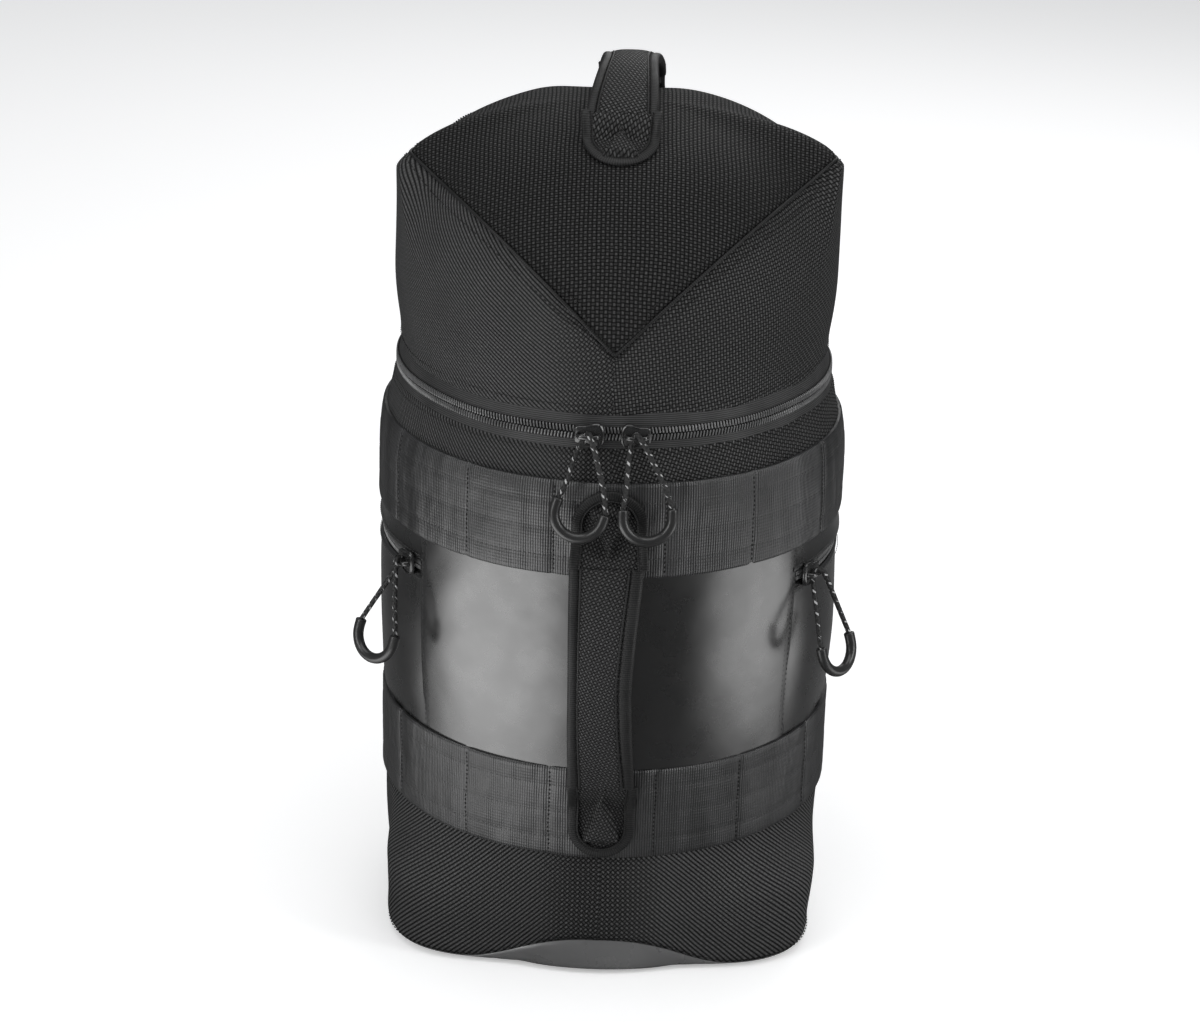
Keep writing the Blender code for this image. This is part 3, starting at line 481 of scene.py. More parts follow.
class Value:
    """A shader socket that numbers and other sockets can be added to or multiplied by."""

    def __init__(self, graph, socket):
        self.graph, self.socket = graph, socket

    def __add__(self, other):
        return self.graph.math("ADD", self, other)

    def __sub__(self, number):
        return self.graph.math("ADD", self, -number)

    def __mul__(self, other):
        return self.graph.math("MULTIPLY", self, other)


class Graph:
    """Adds nodes to a new material, with values or plain numbers as inputs."""

    def __init__(self, name):
        self.material = bpy.data.materials.new(name)
        self.material.use_nodes = True
        self.tree = self.material.node_tree

    def put(self, socket, value):
        if isinstance(value, Value):
            self.tree.links.new(value.socket, socket)
        else:
            socket.default_value = value

    def node(self, kind, result=0, settings=None, **given):
        """The output of a new node. settings are its own, and given are its inputs by name."""
        node = self.tree.nodes.new("ShaderNode" + kind)
        for name, value in (settings or {}).items():
            setattr(node, name, value)
        for name, value in given.items():
            self.put(node.inputs[name.replace("_", " ")], value)
        return Value(self, node.outputs[result])

    def math(self, operation, *values):
        result = self.node("Math", settings={"operation": operation})
        for socket, value in zip(result.socket.node.inputs, values):
            self.put(socket, value)
        return result

    def fract(self, value):
        return self.math("FRACT", value)

    def mix(self, share, a, b):
        """a where share is 0 and b where it is 1."""
        return share * self.math("SUBTRACT", b, a) + a

    def split(self, vector):
        outputs = self.node("SeparateXYZ", Vector=vector).socket.node.outputs
        return Value(self, outputs[0]), Value(self, outputs[1])

    def uv(self):
        return self.split(self.node("UVMap", settings={"uv_map": "cloth"}))

    def ray(self, kind):
        """1 where a ray of this kind meets the surface, and 0 elsewhere."""
        return self.node("LightPath", kind)

    def place(self):
        """The point in the object's frame, for patterns that need no UV map."""
        return self.node("TexCoord", "Object")

    def noise(self, scale, detail=2.0, stretch=None):
        source = self.place()
        if stretch:
            source = self.node("Mapping", Scale=stretch, Vector=source)
        return self.node("TexNoise", Scale=scale, Detail=detail, Vector=source)

    def ramp(self, value, low, high, start=0.0, end=1.0):
        """value rescaled so that low..high becomes start..end, and held there beyond."""
        return self.node("MapRange", Value=value, From_Min=low, From_Max=high, To_Min=start, To_Max=end)

    def wave(self, coordinate, period):
        """A sine of the coordinate, from 0 to 1."""
        return self.math("SINE", coordinate * (2 * math.pi / period)) * 0.5 + 0.5

    def dome(self, fraction, power):
        """1 in the middle of a thread and 0 at its edges, flatter for a higher power."""
        off = self.math("ABSOLUTE", fraction * 2.0 - 1.0)
        return self.math("SUBTRACT", 1.0, self.math("POWER", off, power))

    def turned(self, u, v, angle):
        """u and v turned by an angle in radians."""
        c, s = self.math("COSINE", angle), self.math("SINE", angle)
        return u * c + v * s, v * c + u * s * -1.0

    def grey(self, value, tint=(1.0, 1.0, 1.0)):
        """A colour from one brightness."""
        red, green, blue = (value * share for share in tint)
        return self.node("CombineColor", Red=red, Green=green, Blue=blue)

    def bump(self, height, distance, strength=1.0, under=None):
        result = self.node("Bump", Height=height, Distance=distance, Strength=strength)
        if under is not None:
            self.put(result.socket.node.inputs["Normal"], under)
        return result

    def glow(self, strength):
        self.finish_with({"Emission Strength": strength, "Emission Color": (1, 1, 1, 1)})

    def finish_with(self, given):
        for name, value in given.items():
            self.put(self.tree.nodes["Principled BSDF"].inputs[name], value)
        return self.material

    def finish(self, colour, roughness, normal=None, metallic=0.0, coat=0.0, sheen=0.0, specular=0.5,
               coat_rough=0.25):
        given = {"Base Color": colour, "Roughness": roughness, "Metallic": metallic, "Coat Weight": coat,
                 "Specular IOR Level": specular, "Coat Roughness": coat_rough, "Sheen Weight": sheen,
                 "Sheen Roughness": 0.5}
        if normal is not None:
            given["Normal"] = normal
        return self.finish_with(given)


def basket_weave(name, period, angles, light, depth, rough=0.50, specular=0.25, ribs=(0.0, 0.0)):
    """Over-and-under weave. angles are its directions left and right of the bag's middle, and ribs how far
    its threads there run on unbroken, as slanting lines."""
    g = Graph(name)
    u, v = g.uv()
    right = g.math("GREATER_THAN", u, 0.0)
    drift = (g.noise(22.0) - 0.5) * 0.0022
    p, q = (turned * (1 / period) for turned in g.turned(u + drift, v + drift, g.mix(right, *angles)))
    fp, fq = g.fract(p), g.fract(q)
    odd = g.math("GREATER_THAN", g.fract((g.math("FLOOR", p) + g.math("FLOOR", q)) * 0.5), 0.25)
    warp = g.dome(fp, 2.0) * g.dome(fq, 6.0)
    weft = g.dome(fp, 6.0) * g.dome(fq, 2.0)
    height = g.mix(odd, warp, weft * 0.72)
    if any(ribs):
        away = g.ramp(g.math("ABSOLUTE", u), 0.012, 0.045)
        height = g.mix(away * g.mix(right, *ribs), height, g.dome(fp, 2.0))
    fibre = g.noise(1400.0, 1.0)
    # Thread tops are painted light as glints and the gaps between threads near black as painted shade.
    tone = g.mix(g.math("POWER", height, 2.2), 0.001, light)
    tone = tone * g.ramp(g.noise(9.0, 4.0), 0.3, 0.75, 0.82, 1.25) * g.ramp(fibre, 0.3, 0.7, 0.8, 1.2)
    normal = g.bump(height + fibre * 0.12, depth)
    look = g.finish(g.grey(tone), g.mix(height, 0.85, rough), normal, specular=specular)
    return look, "ballistic_nylon"


def ribbed_webbing(name, rib=0.00160, tone=0.030):
    """Webbing with fine upright ribs crossed by flat picks, painted shade between ribs and streaks of painted
    sheen.
    """
    g = Graph(name)
    u, v = g.uv()
    ribs = g.wave(u + (g.noise(30.0) - 0.5) * 0.0012, rib)
    height = ribs * 0.75 + g.wave(v, 0.0021) * 0.25
    # broad paints soft upright streaks, lighter and darker, into the colour: painted sheen.
    broad = g.ramp(g.noise(60.0, 3.0, stretch=(1, 1, 0.12)), 0.35, 0.7, 0.62, 1.40)
    # Rib tops are painted lighter and the grooves between ribs darker as painted shade, times the painted
    # sheen.
    colour = g.grey(g.mix(ribs, tone * 0.25, tone * 1.6) * broad, (1.0, 1.0, 1.02))
    roughness = g.ramp(g.noise(16.0, 3.0), 0.35, 0.7, 0.34, 0.48)
    normal = g.bump(g.noise(26.0, 3.0, stretch=(1, 1, 0.35)), 0.014, 0.55)
    return g.finish(colour, roughness, g.bump(height, 0.00030, 0.8, normal), specular=0.85), "webbing"


def coated_tarpaulin(name, tone):
    """Coated cloth: glossy and softly crumpled."""
    g = Graph(name)
    broad, fine = g.noise(14.0, 3.0), g.noise(60.0, 4.0)
    colour = g.grey(g.ramp(broad, 0.3, 0.7, tone * 0.85, tone * 1.2))
    normal = g.bump(fine, 0.0012, 0.12, g.bump(broad, 0.010, 0.10))
    roughness = g.ramp(fine, 0.3, 0.75, 0.24, 0.36)
    return g.finish(colour, roughness, normal, coat=1.0, specular=1.0, coat_rough=0.20), "tarpaulin"


def ribbed_tape(name, rib, tone, rough):
    """Folded binding tape, ribbed across its run."""
    g = Graph(name)
    u, v = g.uv()
    ribs = g.wave(v, rib)
    worn = g.ramp(g.noise(40.0, 3.0), 0.3, 0.75, 0.8, 1.3)
    # Rib tops are painted lighter and the grooves between ribs darker: painted shade across the ribs.
    colour = g.grey(g.mix(ribs, tone * 0.45, tone * 1.5) * worn)
    normal = g.bump(ribs * 0.8 + g.wave(u, 0.0009) * 0.2, 0.00018, 0.7)
    return g.finish(colour, g.ramp(g.noise(60.0), 0.3, 0.7, rough, rough + 0.15), normal, specular=0.3)


def moulded(name, tone, rough, grain=900.0, grain_depth=0.00008, metallic=0.0, coat=0.0):
    """Moulded or painted material with a fine grain and lightly rubbed patches."""
    g = Graph(name)
    rubbed = g.noise(55.0, 4.0)
    colour = g.grey(g.ramp(rubbed, 0.35, 0.75, tone * 0.85, tone * 1.35))
    roughness = g.ramp(rubbed, 0.3, 0.75, rough + 0.06, rough - 0.05)
    return g.finish(colour, roughness, g.bump(g.noise(grain), grain_depth, 0.5), metallic=metallic, coat=coat)


def braided_cord(name):
    """Round braid with bright reflective flecks; u runs once round the cord and v along it."""
    g = Graph(name)
    u, v = g.uv()
    turns, along = u * (2 * math.pi), v * (2 * math.pi / 0.0034)
    one, two = (g.math("SINE", turns * way + along) * 0.5 + 0.5 for way in (3.0, -3.0))
    braid = g.math("MAXIMUM", one, two)
    step = g.fract(v * (1 / 0.0074) + u * 1.0)
    fleck = g.math("LESS_THAN", step, 0.24) * g.math("GREATER_THAN", g.fract(u * 3.0), 0.42)
    fleck = fleck * g.math("GREATER_THAN", one, 0.35)
    # Braid strands are painted lighter on top and near black in the grooves between them: painted shade.
    colour = g.grey(g.mix(fleck, g.mix(braid, 0.003, 0.024), 0.50))
    return g.finish(colour, g.mix(fleck, 0.62, 0.30), g.bump(braid, 0.0004, 0.8))


def spacer_mesh(name, cell=0.0032):
    """Knitted mesh over foam, with rows of small open cells."""
    g = Graph(name)
    u, v = g.uv()
    shift = g.fract(g.math("FLOOR", v * (1 / cell)) * 0.5) * 1.0
    fu = g.fract(u * (1 / cell) + shift) * 2.0 - 1.0
    fv = g.fract(v * (1 / cell)) * 2.0 - 1.0
    open_cell = g.ramp(g.math("SQRT", fu * fu + fv * fv * 0.8), 0.42, 0.62)
    tone = g.mix(open_cell, 0.003, 0.030) * g.ramp(g.noise(12.0, 3.0), 0.3, 0.7, 0.85, 1.2)
    normal = g.bump(open_cell + g.noise(900.0) * 0.15, 0.0008, 0.9)
    return g.finish(g.grey(tone), 0.8, normal, sheen=0.15, specular=0.3)


def smooth_lining(name, tone, rough, scale=0.0009):
    """Fine plain cloth or foam skin."""
    g = Graph(name)
    u, v = g.uv()
    soft = g.noise(25.0, 4.0)
    colour = g.grey(g.ramp(soft, 0.3, 0.7, tone * 0.85, tone * 1.15))
    normal = g.bump(g.wave(u, scale) * 0.5 + g.wave(v, scale) * 0.5, 0.0001, 0.5, g.bump(soft, 0.004, 0.3))
    return g.finish(colour, g.ramp(soft, 0.3, 0.7, rough, rough + 0.1), normal, sheen=0.1)


# Each look is a material and the record's slot it stands for.
# Each weave's fourth value is the brightness painted on its thread tops as glints.
TOP_WEAVE = basket_weave("top_weave", 0.0026, (0.0, 0.0), 0.060, 0.0008, 0.60, 0.20)
SKIRT_WEAVE = basket_weave("skirt_weave", 0.0022, (0.95, 0.12), 0.095, 0.0006, ribs=(0.75, 0.0))
BOOT_WEAVE = basket_weave("boot_weave", 0.0024, (-0.80, 0.80), 0.085, 0.0008, ribs=(0.8, 0.8))
HANDLE_WEAVE = basket_weave("handle_weave", 0.0018, (0.5, 0.5), 0.080, 0.0007, 0.45, 0.35)
COLLAR_WEAVE = basket_weave("collar_weave", 0.0022, (0.80, -0.35), 0.085, 0.0007, ribs=(0.7, 0.0))
BACK_WEAVE = basket_weave("back_weave", 0.0024, (0.0, 0.0), 0.085, 0.0005, 0.60, 0.20)
TARPAULIN = coated_tarpaulin("tarpaulin_coat", 0.009)
# The base's tarpaulin is painted far lighter than the rest (0.120 against 0.009): a painted reflection of the
# pale floor.
BASE_TARPAULIN_PAINTED_REFLECTION = coated_tarpaulin("base_coat_painted_reflection", 0.120)
WEBBING = ribbed_webbing("band_webbing")
STRAP_WEBBING = ribbed_webbing("strap_webbing", 0.0012, 0.018)
BINDING = ribbed_tape("binding_tape_ribs", 0.0014, 0.018, 0.40), "binding_tape"
ZIP_TAPE = ribbed_tape("zip_tape_ribs", 0.0012, 0.040, 0.45), "zip_coil"
# The coil's teeth are painted mid grey (0.13): partly their own dark nylon and partly painted glints.
COIL = moulded("coil_nylon_painted_glint", 0.13, 0.26, coat=0.3), "zip_coil"
# A near-black sheet behind the coil's teeth: painted shade in the gap between them.
COIL_SHADE_SHEET = moulded("coil_shadow", 0.004, 0.8), "zip_coil"
SLIDER = moulded("slider_paint", 0.050, 0.16, 300.0, 0.00005, metallic=0.6, coat=0.8), "slider_metal"
CORD = braided_cord("cord_braid"), "cord"
GRIP = moulded("grip_rubber_skin", 0.020, 0.32, 1200.0, coat=0.35), "grip_plastic"
BUCKLE = moulded("buckle_acetal", 0.018, 0.38, 1500.0, 0.0001), "buckle_plastic"
THREAD = moulded("thread_black", 0.045, 0.55, 4000.0, 0.0001), "webbing"
DARK_THREAD = moulded("thread_dark", 0.003, 0.7, 4000.0, 0.0001), "ballistic_nylon"
MESH = spacer_mesh("pad_mesh"), "mesh_fabric"
LINING = smooth_lining("grey_lining", 0.085, 0.6), "lining"
FOAM = smooth_lining("foam_skin", 0.05, 0.85, 0.0013), "foam"
BOARD = moulded("board_grain", 0.015, 0.5), "board_plastic"

# --- Body: base, boot, bands and panels ---------------------------------------------------------------

TUCK = 0.006  # how far a panel runs under the webbing that covers its edge
BAND_PROUD = 0.0024
STITCH_ROWS = (0.20, 0.50, 0.80)
BAR_TACKS = (0.0345, 0.0945, 0.165, 0.235, 0.310, 0.400)
CLOTH, BOARD_CLOTH = 0.0016, 0.0014  # thickness of the soft cloth and of the stiff panels
TAPE_DEPTH, TAPE_THICK = 0.0012, 0.0008
PANEL_LOW, PANEL_HIGH = LOWER_BAND[1] - TUCK, UPPER_BAND[0] + TUCK


def all_round(count):
    return np.linspace(-HALF_LENGTH + 0.002, HALF_LENGTH - 0.002, count)


def build_base():
    s = round_trip(0.004)
    seam = base_seam(s)
    rows_out, rows_in = [], []
    for share in (0.0, 0.06, 0.16, 0.34, 0.54, 0.72, 0.86, 0.95, 1.0):
        z = seam * (1 - share)
        off = profile(z) + corner_fill(s, z) - 0.0008 * bump_at(share, 0, 0.08)
        rows_out.append(on_side(s, z, off))
        rows_in.append(on_side(s, np.maximum(z, CLOTH), off - CLOTH - CLOTH * share))
    floor_ring = rows_out[-1]
    for size in (0.8, 0.55, 0.3, 0.12):
        rows_out.append(floor_ring * (size, size, 1))
        rows_in.append(floor_ring * (size * 0.98, size * 0.98, 1) + (0, 0, CLOTH))
    outer, inner = np.array(rows_out), np.array(rows_in)
    uv = np.stack([outer[..., 0], outer[..., 1] + outer[..., 2]], -1)
    outer, inner = outer[:, :-1], inner[:, :-1]
    # The base is painted lighter as a reflection of the floor.
    shell("base_shell_tarp", outer, inner, uv, BASE_TARPAULIN_PAINTED_REFLECTION, "bag", True, True, ["base_shell"])
    s = s[np.abs(s) < 0.30]
    seam = base_seam(s)
    lift = profile(seam + 0.0022) + corner_fill(s, seam) + 0.0002
    stitches("base_seam_stitches", [seam_run(s, seam + 0.0022, lift)], DARK_THREAD, "bag", BASE_STITCH)


def build_boot():
    share = ticks(0, 1, 0.026, edge=(0.006, 0.014, 0.028))
    gs, gshare = np.meshgrid(round_trip(), share)
    low = base_seam(gs) + 0.0002
    gz = low + (LOWER_BAND[0] + TUCK - low) * gshare
    off = profile(gz) + corner_fill(gs, gz) + 0.0009 * ripple(gs, gz, 0.075, 11) * taper(gs)
    off -= 0.0013 * bump_at(gz, low, 0.0018)
    off -= 0.0022 * (bump_at(gs, 0, 0.016) * smoothstep(gz, 0.030, 0.075))
    side_shell("boot_fabric", gs, gz, off, CLOTH, BOOT_WEAVE, ["boot_panel"], wrap=True)


def band_offset(s, z, low, high, seed):
    """Webbing surface: pulled in along its stitches and a little full between them."""
    off = profile(z) + BAND_PROUD + 0.0004 * ripple(s, z, 0.06, seed) * taper(s)
    for row in STITCH_ROWS:
        off = off - 0.0004 * bump_at(z, low + (high - low) * row, 0.0012)
    for tack in BAR_TACKS:
        off = off - 0.0011 * bump_at(np.abs(s), tack, 0.0018)
    return off


def build_band(name, node, limits, seed):
    low, high = limits
    gs, gz = np.meshgrid(round_trip(0.0022), ticks(low, high, 0.0022))
    off = band_offset(gs, gz, low, high, seed) - rolled(gz, low, high, 0.0007, 0.0010)
    side_shell(name, gs, gz, off, CLOTH, WEBBING, [node], wrap=True)

    def run(s, z):
        return seam_run(s, z, band_offset(s, z, low, high, seed))

    rows, tacks = [], []
    s = all_round(600)
    for k, row in enumerate(STITCH_ROWS):
        rows.append(run(s, low + (high - low) * row + 0.0003 * ripple(s, s * 0 + k, 0.03, seed + k)))
    z = np.linspace(low + 0.002, high - 0.002, 30)
    for tack in BAR_TACKS:
        for side in (-1, 1):
            tacks.append(run(np.full_like(z, side * tack) + 0.0004 * ripple(z, z * 0, 0.03, seed + 7), z))
    stitches(name + "_rows", rows, THREAD, "bag", ROW_STITCH)
    stitches(name + "_tacks", tacks, DARK_THREAD, "bag", TACK_STITCH)


def front_offset(s, z):
    return profile(z) + 0.0007 * ripple(s, z, 0.13, 23) + 0.00010 * ripple(s, z, 0.035, 24)


def build_front_panel():
    edge = SEAM_S + 0.0025
    gs, gz = np.meshgrid(ticks(-edge, edge, 0.0026), np.linspace(PANEL_LOW, PANEL_HIGH, 56))
    off = front_offset(gs, gz) + 0.0006 - rolled(gs, -edge, edge, 0.0009, 0.0012)
    off -= 0.0005 * bump_at(np.abs(gs), SEAM_S - 0.001, 0.0012)
    side_shell("front_tarp_panel", gs, gz, off, BOARD_CLOTH, TARPAULIN, ["front_panel"])
    runs = []
    z = np.linspace(LOWER_BAND[1], UPPER_BAND[0], 40)
    for side in (-1, 1):
        for inset in (0.0010, 0.0048):
            s = np.full_like(z, side * (SEAM_S - inset))
            runs.append(seam_run(s, z, front_offset(s, z) + 0.0004))
    stitches("front_panel_stitches", runs, THREAD, "bag", PANEL_STITCH)


def pocket_cloth(gs, gz, low, high, seed, full):
    across = np.clip(np.abs(np.abs(gs) - (SEAM_S + ZIP_END_S) / 2) / (ZIP_END_S - SEAM_S) * 2, 0, 1)
    puff = full * (1 - across**4) * np.sin(np.pi * np.clip((gz - low) / (high - low), 0, 1)) ** 0.7
    return profile(gz) + puff + 0.0006 * ripple(gs, gz, 0.06, seed) - 0.0004


def build_pockets():
    low, high = POCKET_ZIP[0] - 0.0016, POCKET_ZIP[1] + 0.0016
    for side, sign in SIDES:
        s = np.sort(sign * ticks(SEAM_S - 0.002, ZIP_END_S, 0.0028))

        z = np.concatenate([np.linspace(PANEL_LOW, low - 0.004, 42),
                            low - np.array((0.0025, 0.0012, 0.0004, 0))])
        gs, gz = np.meshgrid(s, z)
        off = pocket_cloth(gs, gz, PANEL_LOW, low, 31 + sign, 0.0022)
        off += 0.0010 * smoothstep(gz, low - 0.006, low - 0.002)
        off -= 0.0010 * bump_at(gz, low, 0.0008)
        side_shell(f"pocket_tarp_{side}", gs, gz, off, 0.0015, TARPAULIN,
                   [f"pocket_front_{side}", f"pocket_liner_{side}"])

        z = np.concatenate([high + np.array((0, 0.0004, 0.0012, 0.0025, 0.004)),
                            np.linspace(high + 0.007, PANEL_HIGH, 7)])
        gs, gz = np.meshgrid(s, z)
        off = pocket_cloth(gs, gz, high, PANEL_HIGH, 41 + sign, 0.0004) + 0.0016 * bump_at(gz, high, 0.006)
        off -= 0.0010 * bump_at(gz, high, 0.0007)
        side_shell(f"pocket_flap_{side}", gs, gz, off, 0.0018, TARPAULIN, [f"pocket_yoke_{side}"])

        gs, gz = np.meshgrid(s, np.linspace(low - 0.005, high + 0.005, 8))
        off = profile(gz) - 0.0026
        side_shell(f"pocket_tape_{side}", gs, gz, off, TAPE_THICK, ZIP_TAPE, [f"pocket_zip_{side}"])
        runs = [seam_run(s, low - 0.0034, profile(low) + 0.0012),
                seam_run(s, high + 0.0036, profile(high) + 0.0011)]
        stitches(f"pocket_stitches_{side}", runs, THREAD, "bag", POCKET_STITCH)
        span_s = sorted((sign * (SEAM_S + 0.001), sign * (ZIP_END_S - 0.004)))
        for half, lift in (("lower", -1), ("upper", 1)):
            name = f"pocket_teeth_{half}_{side}"
            teeth(name, span_s, sum(POCKET_ZIP) / 2, lift, 0.0014, 0.0016, -0.0012, "bag")


def build_back_panel():
    s = ticks(ZIP_END_S - 0.002, 2 * HALF_LENGTH - ZIP_END_S + 0.002, 0.003)
    gs, gz = np.meshgrid(s, np.linspace(PANEL_LOW, PANEL_HIGH, 50))
    off = profile(gz) + 0.0005 * ripple(gs, gz, 0.07, 51) + 0.0004 - rolled(gs, s[0], s[-1], 0.0008, 0.0014)
    side_shell("back_fabric", gs, gz, off, BOARD_CLOTH, BACK_WEAVE, ["back_panel"])


def collar_offset(s, z):
    return profile(z) - 0.0002 + 0.0003 * ripple(s, z, 0.05, 61) * taper(s)


def build_collar():
    gs, gz = np.meshgrid(round_trip(), ticks(UPPER_BAND[1] - TUCK, COLLAR_TOP, 0.0026))
    off = collar_offset(gs, gz) - 0.0010 * bump_at(gz, COLLAR_TOP, 0.0012)
    side_shell("collar_fabric", gs, gz, off, CLOTH, COLLAR_WEAVE, ["collar_panel"], wrap=True)
    s = all_round(500)
    run = seam_run(s, COLLAR_TOP - 0.0030, collar_offset(s, COLLAR_TOP - 0.003))
    stitches("collar_stitches", [run], DARK_THREAD, "bag", COLLAR_STITCH)


def build_main_zip():
    s = np.linspace(-ZIP_END_S, ZIP_END_S, 300)
    gs, gz = np.meshgrid(s, np.linspace(COLLAR_TOP - 0.004, ZIP_LINE - 0.0006, 7))
    side_shell("body_tape", gs, gz, profile(gz) - TAPE_DEPTH, TAPE_THICK, ZIP_TAPE, ["body_zip_tape"])
    gs, gz = np.meshgrid(s, np.linspace(ZIP_LINE + 0.0006, LID_BOTTOM + 0.014, 10))
    level = profile(np.full_like(gz, ZIP_LINE)) - TAPE_DEPTH
    off = level + (lid_wall(gz) - TAPE_DEPTH - level) * smoothstep(gz, ZIP_LINE, LID_BOTTOM + 0.009)
    side_shell("lid_tape", gs, gz, off, TAPE_THICK, ZIP_TAPE, ["lid_zip_tape"], "lid")
    span_s = (-ZIP_END_S + 0.002, ZIP_END_S - 0.002)
    for half, body, side in (("body", "bag", -1), ("lid", "lid", 1)):
        edges = sorted((ZIP_LINE + side * 0.0003, ZIP_LINE + side * 0.0043))
        gs, gz = np.meshgrid(s, np.linspace(*edges, 5))
        # A near-black sheet under each half of the coil: painted shade between the teeth.
        side_shell(f"{half}_coil_shade_sheet", gs, gz, profile(gz) - 0.0009, 0.0004, COIL_SHADE_SHEET, body=body)
        teeth(f"{half}_teeth", span_s, ZIP_LINE, side, 0.0022, 0.0021, -0.0004, body)


def build_hinge_strip():
    """Fabric that joins the lid to the body across the back."""
    s = ticks(ZIP_END_S + 0.001, 2 * HALF_LENGTH - ZIP_END_S - 0.001, 0.0028)
    gs, gz = np.meshgrid(s, np.linspace(COLLAR_TOP - 0.002, LID_BOTTOM + 0.013, 22))
    off = profile(np.minimum(gz, BODY_TOP)) - 0.0016 - 0.0012 * bump_at(gz, ZIP_LINE, 0.004)
    off += (lid_wall(gz) - 0.0019 - off) * smoothstep(gz, LID_BOTTOM - 0.001, LID_BOTTOM + 0.003)
    hold = bend_between("bag", "lid", (0, HINGE_Y, COLLAR_TOP + 0.003), (0, HINGE_Y, LID_BOTTOM + 0.001))
    side_shell("hinge_fabric", gs, gz, off, 0.0012, BACK_WEAVE, ["hinge_tape"], hold)


# --- Inside -------------------------------------------------------------------------------------------

RIM_HALF_WIDTH, RIM_HALF_HEIGHT = 0.0074, 0.0020


def disc(name, z, thick, offset, look, nodes=()):
    s = round_trip(0.008)
    rim = on_side(s, np.full_like(s, z), np.full_like(s, offset))
    rows = np.array([rim * (k, k, 1) for k in (1.0, 0.985, 0.8, 0.5, 0.2)])
    rows[0, :, 2] -= 0.0006
    rows[..., 2] += 0.0003 * ripple(rows[..., 0], rows[..., 1], 0.08, 71)
    low = rows.copy()
    low[..., 2] = z - thick
    shell(name, rows[:, :-1], low[:, :-1], rows[..., :2], look, "bag", True, True, nodes)


def build_inside():
    s = round_trip(0.005)
    top = span("wall_foam")[1]
    gs, gz = np.meshgrid(s, ticks(span("wall_foam")[0] + 0.0004, top, 0.008))
    faces = {"outer": -0.0044 + np.minimum(0, profile(gz)), "inner": np.full_like(gs, -0.0176)}
    layers = [("wall_padding", "wall_foam", gs, gz, faces, FOAM)]
    gs, gz = np.meshgrid(s, ticks(span("body_lining")[0] + 0.0004, top, 0.008))
    fold = np.abs(0.0012 * ripple(gs, gz, 0.05, 81) * taper(gs))
    faces = {"outer": np.full_like(gs, -0.0181), "inner": -0.0190 - fold}
    layers.append(("inner_lining", "body_lining", gs, gz, faces, LINING))
    for name, node, gs, gz, faces, look in layers:
        outer, inner = (on_side(gs, gz, faces[face])[:, :-1] for face in ("outer", "inner"))
        shell(name, outer, inner, np.stack([gs, gz], -1), look, "bag", True, nodes=[node])
    s = s[:-1]
    turn = np.linspace(0, 2 * math.pi, 14, endpoint=False)
    rings = on_side(s, np.full(len(s), top), np.full(len(s), -0.0118))[:, None]
    rings = rings + outward(s)[:, None] * (RIM_HALF_WIDTH * np.cos(turn))[None, :, None]
    rings[..., 2] += RIM_HALF_HEIGHT * np.sin(turn) * (1 + 0.15 * np.cos(turn) ** 2) - 0.0010
    sweep("rim_binding", rings, BINDING, "bag", True)
    floor = span("base_foam")[1]
    disc("floor_lining", floor + 0.0006, 0.0008, -0.0186, LINING)
    disc("floor_padding", floor - 0.0004, 0.0070, -0.0205, FOAM, ["base_foam"])
    disc("base_stiffener", span("base_board")[1], 0.0028, -0.0300, BOARD, ["base_board"])


# --- Lid ----------------------------------------------------------------------------------------------

DOME_CENTRE = -0.0151
DOME_POWER = 2.40
# Front, corner and back values: where the wall turns into the dome, and how slowly the dome rises from it.
WALL_TOP = (0.4478, 0.5077, 0.4705)
DOME_EASE = (0.479, 0.780, 0.575)
WALL_Z = (0.3775, 0.3845, 0.400, 0.436, 0.47)
WALL_IN = (-0.0072, -0.0076, -0.0098, -0.0076, -0.0070)
LID_CORNER, LID_CORNER_SPREAD, LID_CORNER_PULL = 80.75, 13.2, -0.0015
RIGHT_CORNER_RISE = 0.0085  # the lid's right corner stands this much higher than its left one
BACK_FROM, BACK_SOFT = 92.75, 8.0
SEAM_TILT = math.radians(22)  # the V seam lies in a plane that leans back by this much
SEAM_START, SEAM_SLOPE, SEAM_MIRROR_Y = 0.3428, 0.965, -0.022
TOP_PUFF = 0.0016
DOME_TOP = LID_TOP - 0.0026
TOP_SEAM_LIFT, WALL_INSET = 0.0012, 0.0070
HEM_M = 0.065  # where the lid's fabric starts, leaving the zip tape showing below it


def lid_wall(z):
    """Offset of the lid's wall: in at a waist above the zip, then full again."""
    return sum(np.interp(z + k, WALL_Z, WALL_IN) for k in (-0.006, -0.003, 0, 0.003, 0.006)) / 5


def lid_corner(x, y):
    """1 at the lid's two side corners, where the seams meet, falling to 0 away from them."""
    return bump_at(degrees_from_front(x, y), LID_CORNER, LID_CORNER_SPREAD)


def round_lid(x, y, values):
    """Front, corner and back values eased into each other round the lid."""
    front, at_corner, at_back = values
    back = 1 / (1 + np.exp(-(degrees_from_front(x, y) - BACK_FROM) / BACK_SOFT))
    corner = lid_corner(x, y)
    return front + (at_corner - front) * corner + (at_back - front) * back * (1 - corner)


